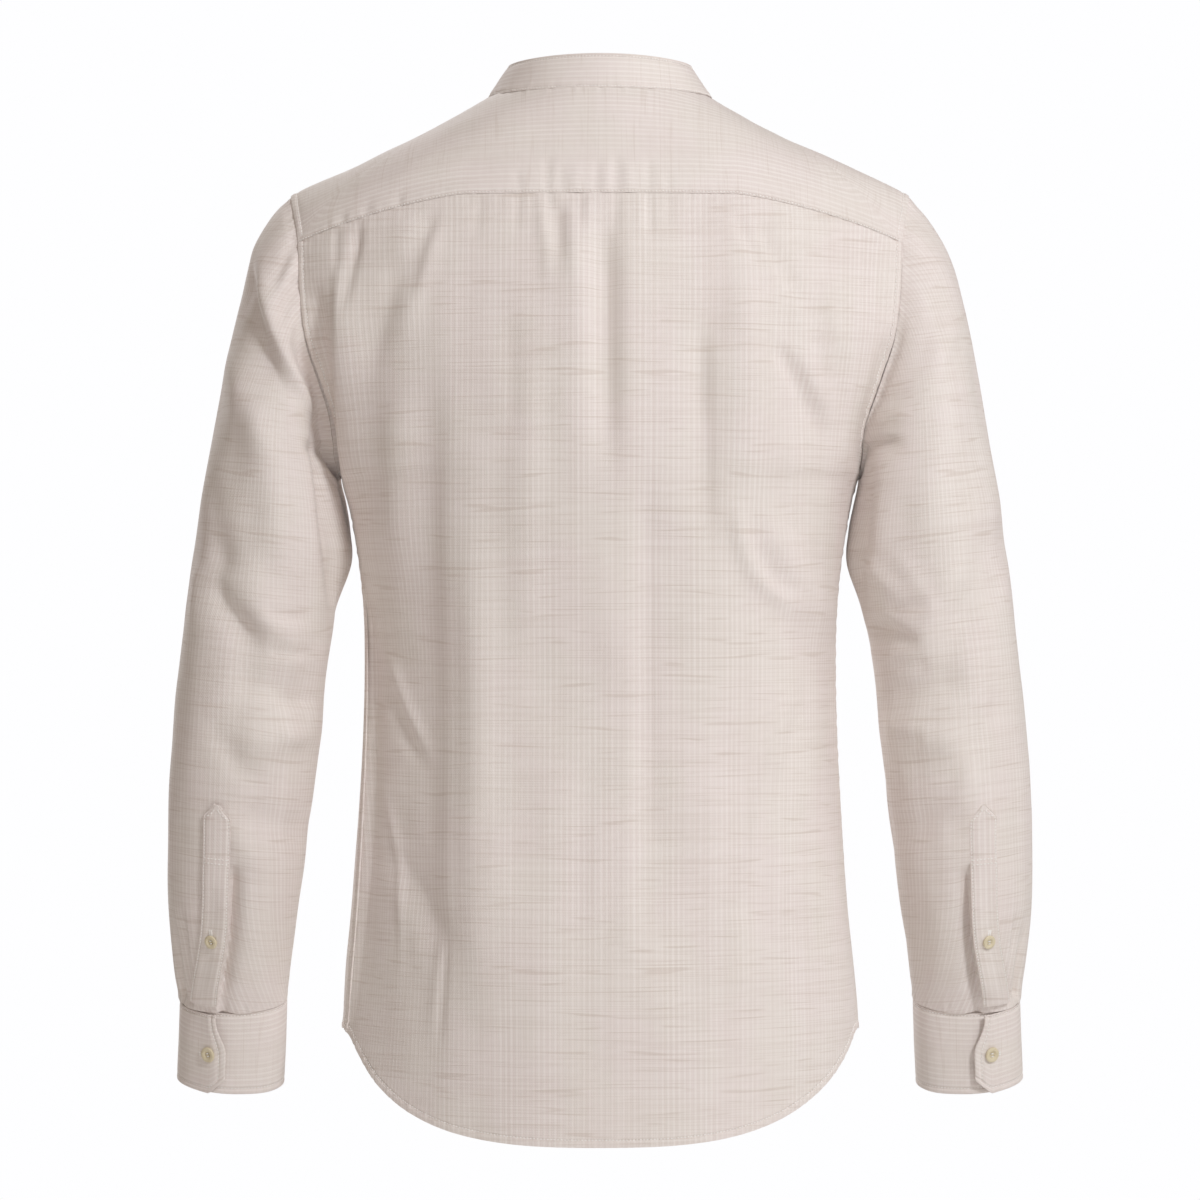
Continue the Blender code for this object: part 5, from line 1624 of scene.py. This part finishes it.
class SHIRT_OT_sleeve_plackets(bpy.types.Operator):
    """Makes the pointed plackets over the sleeve slits."""

    bl_idname = "shirt.sleeve_plackets"
    bl_label = "Sleeve plackets"

    def execute(self, context):
        downs = spaced(SLIT_LENGTH, (0.0, 0.5, 1.0, 1.8, 2.8, 4.0, 5.5, 7.0, 8.8, 11.0), (0.0,), 70)[0]
        half = 1 - spaced(SLIT_WIDTH / 2, STITCH_STEPS, (0.0,), 6)[:, ::-1]
        down, across = grid(downs, half_and_half(half)[0])
        points = placket_cloth(down, across)
        places = np.stack([across * SLIT_WIDTH / 2, -points[..., 2]], axis=-1)
        share = 1 - PLACKET_STITCH / (SLIT_WIDTH / 2)
        point = np.linspace(*PLACKET_POINT_STITCH, 20)
        below = np.linspace(point[-1], 0.99, 200)
        box = np.linspace(-share, share, 40)
        rows = [on_surface(placket_cloth, below, side * share, -1) for side in (-1, 1)]
        rows += [on_surface(placket_cloth, place, box, -1) for place in PLACKET_BOX]
        rows += [on_surface(placket_cloth, point, side * share * np.linspace(0.25, 1, 20), -1)
                 for side in (-1, 1)]
        for side in ("left", "right"):
            add_cloth(f"sleeve_placket_{side}", f"sleeve_placket_{side}", "cloth", points, places,
                      {"flat": (0.02, 0.148), "rests_on": [f"sleeve_{side}"]}, rows,
                      mirror=side == "right", facing=-1, wall=DOUBLED_WALL)
        return {"FINISHED"}


class SHIRT_OT_cuffs(bpy.types.Operator):
    """Makes both cuffs, wrapped and lapped, with their topstitching."""

    bl_idname = "shirt.cuffs"
    bl_label = "Cuffs"

    def execute(self, context):
        downs = spaced(CUFF_HEIGHT, STITCH_STEPS, EDGE_STEPS, 14)[0]
        arounds = spaced(CUFF_LENGTH, (0.0,), STITCH_STEPS + (4.3, 4.6, 5.0, 6.0), 120)[0]
        down, around = grid(downs, arounds)
        points = cuff_cloth(down, around)
        places = np.stack([down * CUFF_HEIGHT, arc_places(cuff(down, around), 0)], axis=-1)
        line = np.linspace(0.02, 0.975, 400)
        end = np.linspace(0.09, 0.90, 60)
        rows = [on_surface(cuff_cloth, EDGE_STITCH / CUFF_HEIGHT, line, -1),
                on_surface(cuff_cloth, 1 - CUFF_STITCH / CUFF_HEIGHT, line, -1),
                on_surface(cuff_cloth, end, 1 - CUFF_STITCH / CUFF_LENGTH, -1)]
        for side in ("left", "right"):
            add_cloth(f"cuff_{side}", f"cuff_{side}", "cross_cloth", points, places,
                      {"flat": (0.264, 0.061), "rests_on": [f"sleeve_{side}"]}, rows,
                      mirror=side == "right", facing=-1, wall=DOUBLED_WALL)
        return {"FINISHED"}


# A turned button's rings, as shares of its radius and heights in millimetres, from the middle of
# its face over the rim to the middle of its back. The threads lie side by side on its face
BUTTON_RINGS = (
    (0.06, 1.5), (0.12, 1.5), (0.17, 1.5), (0.21, 1.5), (0.25, 1.5), (0.29, 1.5), (0.33, 1.5),
    (0.37, 1.5), (0.41, 1.5), (0.45, 1.55), (0.49, 1.75), (0.53, 2.05), (0.58, 2.2), (0.66, 2.24),
    (0.75, 2.25), (0.84, 2.22), (0.91, 2.1), (0.97, 1.8), (1.0, 1.3), (0.99, 0.8), (0.93, 0.35),
    (0.82, 0.08), (0.6, 0.0), (0.2, 0.0),
)
BUTTON_FACE_RINGS = 18
BUTTON_FACE_HEIGHT = 1.5
BUTTON_THREAD_GAP = 0.34
BUTTON_SIDES = 40
BUTTON_HOLE_PLACE = 0.27
BUTTON_HOLE_RADIUS = 0.125
BUTTON_HOLE_DEPTH = 1.35
BUTTON_TURN = 12.0


def button_points(diameter):
    """Points of a button about its own axis: a turned profile, with four small holes sunk into its
    face where a ring passes near a hole's middle."""
    radius = diameter / 2
    share, height = np.array(BUTTON_RINGS).T
    spin = (np.arange(BUTTON_SIDES) + 0.5) / BUTTON_SIDES * 2 * math.pi
    x = share[:, None] * np.cos(spin)
    y = share[:, None] * np.sin(spin)
    z = np.repeat(height[:, None], BUTTON_SIDES, axis=1)
    face = (np.arange(len(share)) < BUTTON_FACE_RINGS)[:, None]
    for turn in (45, 135, 225, 315):
        away = np.hypot(x - BUTTON_HOLE_PLACE * math.cos(math.radians(turn)),
                        y - BUTTON_HOLE_PLACE * math.sin(math.radians(turn)))
        z -= face * BUTTON_HOLE_DEPTH * (1 - step(BUTTON_HOLE_RADIUS * 0.8,
                                                  BUTTON_HOLE_RADIUS * 1.15, away))
    rings = np.stack([x * radius, y * radius, z], axis=-1).reshape(-1, 3)
    return np.concatenate([rings, [[0, 0, height[0]], [0, 0, 0]]])


def button_faces():
    """Quads between a button's rings, and a fan of triangles at each pole."""
    rings = len(BUTTON_RINGS)
    number = np.arange(rings * BUTTON_SIDES).reshape(rings, BUTTON_SIDES)
    number = np.concatenate([number, number[:, :1]], axis=1)
    pole = np.full(BUTTON_SIDES, rings * BUTTON_SIDES)
    sides = np.stack([number[:-1, :-1], number[1:, :-1], number[1:, 1:], number[:-1, 1:]], axis=-1)
    face_fan = np.stack([pole, number[0, :-1], number[0, 1:]], axis=-1)
    back_fan = np.stack([pole + 1, number[-1, 1:], number[-1, :-1]], axis=-1)
    return sides.reshape(-1, 4).tolist() + face_fan.tolist() + back_fan.tolist()


def seat_frame(shape, seat, mirror):
    """Middle, sideways, upward and outward ways of a seat on a piece that faces inwards."""
    down, across = (np.array(share, float) for share in seat)
    centre = shape(down, across)
    normal = -surface_normals(shape, down, across)
    side = unit(np.cross(np.array([0, 0, 1.0]), normal))
    ways = np.stack([side, np.cross(normal, side), normal])
    if mirror:
        flip = np.array([-1.0, 1.0, 1.0])
        return centre * flip, ways * flip * np.array([[-1.0], [1.0], [1.0]])
    return centre, ways


def add_button(node, shape, seat, diameter, mirror=False, lift=SEAM_GAP, hole_along="up"):
    """A button on its seat, turned a little. Returns the stitches of the thread in its holes and
    of its buttonhole."""
    centre, ways = seat_frame(shape, seat, mirror)
    spin = math.radians(BUTTON_TURN)
    turned = np.array([[math.cos(spin), math.sin(spin), 0], [-math.sin(spin), math.cos(spin), 0],
                       [0, 0, 1]]) @ ways
    points = button_points(diameter) + np.array([0, 0, lift])
    mesh = bpy.data.meshes.new(f"{node}_turned")
    mesh.from_pydata(((centre + points @ turned) * MM).tolist(), [], button_faces())
    mesh.shade_smooth()
    piece = link_piece(f"{node}_turned", mesh)
    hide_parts(node)
    finish_piece(piece, shirt_material("button"))
    reach = diameter / 2 * BUTTON_HOLE_PLACE * math.cos(math.radians(45))
    places = [(shift + nudge, lift + BUTTON_FACE_HEIGHT) for shift in (-reach, reach)
              for nudge in (-BUTTON_THREAD_GAP / 2, BUTTON_THREAD_GAP / 2)]
    at = np.array([centre + turned[1] * shift + turned[2] * height for shift, height in places])
    bars = spindles(at, np.tile(turned[0], (4, 1)), np.tile(turned[2], (4, 1)),
                    length=2.6 * reach, radius=0.24, bow=0.3)
    hole_way = ways[1]
    if hole_along == "side":
        hole_way = ways[0] if mirror else -ways[0]
    return np.concatenate([bars, buttonhole(centre + hole_way * HOLE_SHIFT, hole_way, ways[2])])


class SHIRT_OT_buttons(bpy.types.Operator):
    """Makes the turned buttons of the stand, cuffs and sleeve plackets, sewn through four holes."""

    bl_idname = "shirt.buttons"
    bl_label = "Buttons"

    def execute(self, context):
        threads = [add_button(f"front_button_{place}", button_stand, (down, 0.0), CUFF_BUTTON)
                   for place, down in enumerate(np.linspace(*FRONT_BUTTON_SPAN, FRONT_BUTTONS), 1)]
        for side in ("left", "right"):
            mirror = side == "right"
            threads.append(add_button(f"placket_button_{side}", placket_cloth,
                                      PLACKET_BUTTON_SEAT, PLACKET_BUTTON, mirror))
            threads.append(add_button(f"cuff_button_{side}", cuff_cloth, CUFF_BUTTON_SEAT,
                                      CUFF_BUTTON, mirror, hole_along="side"))
        threads = np.concatenate(threads)
        piece = add_mesh("button_threads", threads.reshape(-1, 3), stitch_faces(len(threads)))
        finish_piece(piece, shirt_material("thread"))
        return {"FINISHED"}


# The stage, in metres: how far the lamps and the camera are from the shirt's middle, the height of
# that middle, and the round floor. Turns and heights of lamps are in degrees, powers in watts
Lamp = namedtuple("Lamp", "name turn height power size")
LAMP_REACH = 3.2
STAGE_MIDDLE = -0.36
FLOOR_RADIUS = 3.9
FLOOR_HEIGHT = -1.42
FLOOR_SIDES = 96
CAMERA_REACH = 3.0


def add_lamp(lamp):
    """A square lamp that faces the shirt's middle, at a turn from behind the shirt and a height in
    degrees."""
    turn, height = math.radians(lamp.turn), math.radians(lamp.height)
    data = bpy.data.lights.new(lamp.name, "AREA")
    data.size = lamp.size
    data.energy = lamp.power
    data.color = linear("#F8FBFF")[:3]
    holder = bpy.data.objects.new(lamp.name, data)
    holder.location = (-math.sin(turn) * math.cos(height) * LAMP_REACH,
                       math.cos(turn) * math.cos(height) * LAMP_REACH,
                       STAGE_MIDDLE + math.sin(height) * LAMP_REACH)
    holder.rotation_euler = (math.pi / 2 - height, 0, math.pi + turn)
    bpy.context.scene.collection.objects.link(holder)


class SHIRT_OT_stage(bpy.types.Operator):
    """Makes the floor, the room light, the lamps and the camera."""

    bl_idname = "shirt.stage"
    bl_label = "Stage"

    def execute(self, context):
        scene = context.scene
        spin = np.linspace(0, 2 * math.pi, FLOOR_SIDES, endpoint=False)
        disc = np.stack([FLOOR_RADIUS * np.cos(spin), FLOOR_RADIUS * np.sin(spin),
                         np.full(FLOOR_SIDES, FLOOR_HEIGHT)], axis=-1)
        mesh = bpy.data.meshes.new("floor")
        mesh.from_pydata(disc.tolist(), [], [list(range(FLOOR_SIDES))])
        floor = bpy.data.objects.new("floor", mesh)
        scene.collection.objects.link(floor)
        mesh.materials.append(shirt_material("floor"))

        world = bpy.data.worlds.new("pale_studio")
        world.use_nodes = True
        tree = world.node_tree
        tree.nodes.clear()
        light = add_node(tree, "ShaderNodeBackground", {},
                         {"Color": linear("#FFEDDC"), "Strength": scene.shirt_studio.sky})
        seen = add_node(tree, "ShaderNodeBackground", {},
                        {"Color": linear("#FEFEFF"), "Strength": 1.0})
        path = add_node(tree, "ShaderNodeLightPath", {}, {})
        mix = add_node(tree, "ShaderNodeMixShader", {},
                       {0: path.outputs["Is Camera Ray"], 1: light.outputs[0],
                        2: seen.outputs[0]})
        add_node(tree, "ShaderNodeOutputWorld", {}, {"Surface": mix.outputs[0]})
        scene.world = world

        studio = scene.shirt_studio
        lamps = (Lamp("key", 31, 28, studio.key, 0.5), Lamp("fill", 0, 12, studio.fill, 1.2),
                 Lamp("edge", 80, 10, studio.edge, 1.2), Lamp("top", 30, 65, studio.top, 1.2),
                 Lamp("key_front", 211, 28, studio.key, 0.5),
                 Lamp("fill_front", 180, 12, studio.fill, 1.2))
        for lamp in lamps:
            add_lamp(lamp)

        lens = bpy.data.cameras.new("camera")
        lens.lens = 125
        lens.sensor_width = 36
        camera = bpy.data.objects.new("camera", lens)
        camera.location = (0.0, CAMERA_REACH, STAGE_MIDDLE)
        camera.rotation_euler = (math.pi / 2, 0, math.pi)
        scene.collection.objects.link(camera)
        scene.camera = camera
        scene.view_settings.view_transform = "Standard"
        return {"FINISHED"}


class SHIRT_PT_pieces(bpy.types.Panel):
    """Lists the pieces and the settings."""

    bl_idname = "SHIRT_PT_pieces"
    bl_label = "Mandarin collar shirt"
    bl_space_type = "VIEW_3D"
    bl_region_type = "UI"
    bl_category = "Shirt"

    def draw(self, context):
        scene = context.scene
        for settings, names in ((scene.shirt_cloth, ("wall", "rose", "sand", "cord", "slub")),
                                (scene.shirt_studio, ("key", "fill", "edge", "top", "sky"))):
            for name in names:
                self.layout.prop(settings, name)
        for operator in OPERATORS:
            self.layout.operator(operator.bl_idname)


OPERATORS = (SHIRT_OT_back, SHIRT_OT_yoke, SHIRT_OT_fronts, SHIRT_OT_collar, SHIRT_OT_sleeves,
             SHIRT_OT_sleeve_plackets, SHIRT_OT_cuffs, SHIRT_OT_buttons, SHIRT_OT_stage)
CLASSES = (ShirtClothSettings, ShirtStudioSettings, *OPERATORS, SHIRT_PT_pieces)


def register():
    for kind in CLASSES:
        bpy.utils.register_class(kind)
    bpy.types.Scene.shirt_cloth = PointerProperty(type=ShirtClothSettings)
    bpy.types.Scene.shirt_studio = PointerProperty(type=ShirtStudioSettings)


def unregister():
    del bpy.types.Scene.shirt_studio
    del bpy.types.Scene.shirt_cloth
    for kind in reversed(CLASSES):
        bpy.utils.unregister_class(kind)


def main():
    register()
    for operator in OPERATORS:
        group, name = operator.bl_idname.split(".")
        getattr(getattr(bpy.ops, group), name)()


if __name__ == "__main__":
    main()
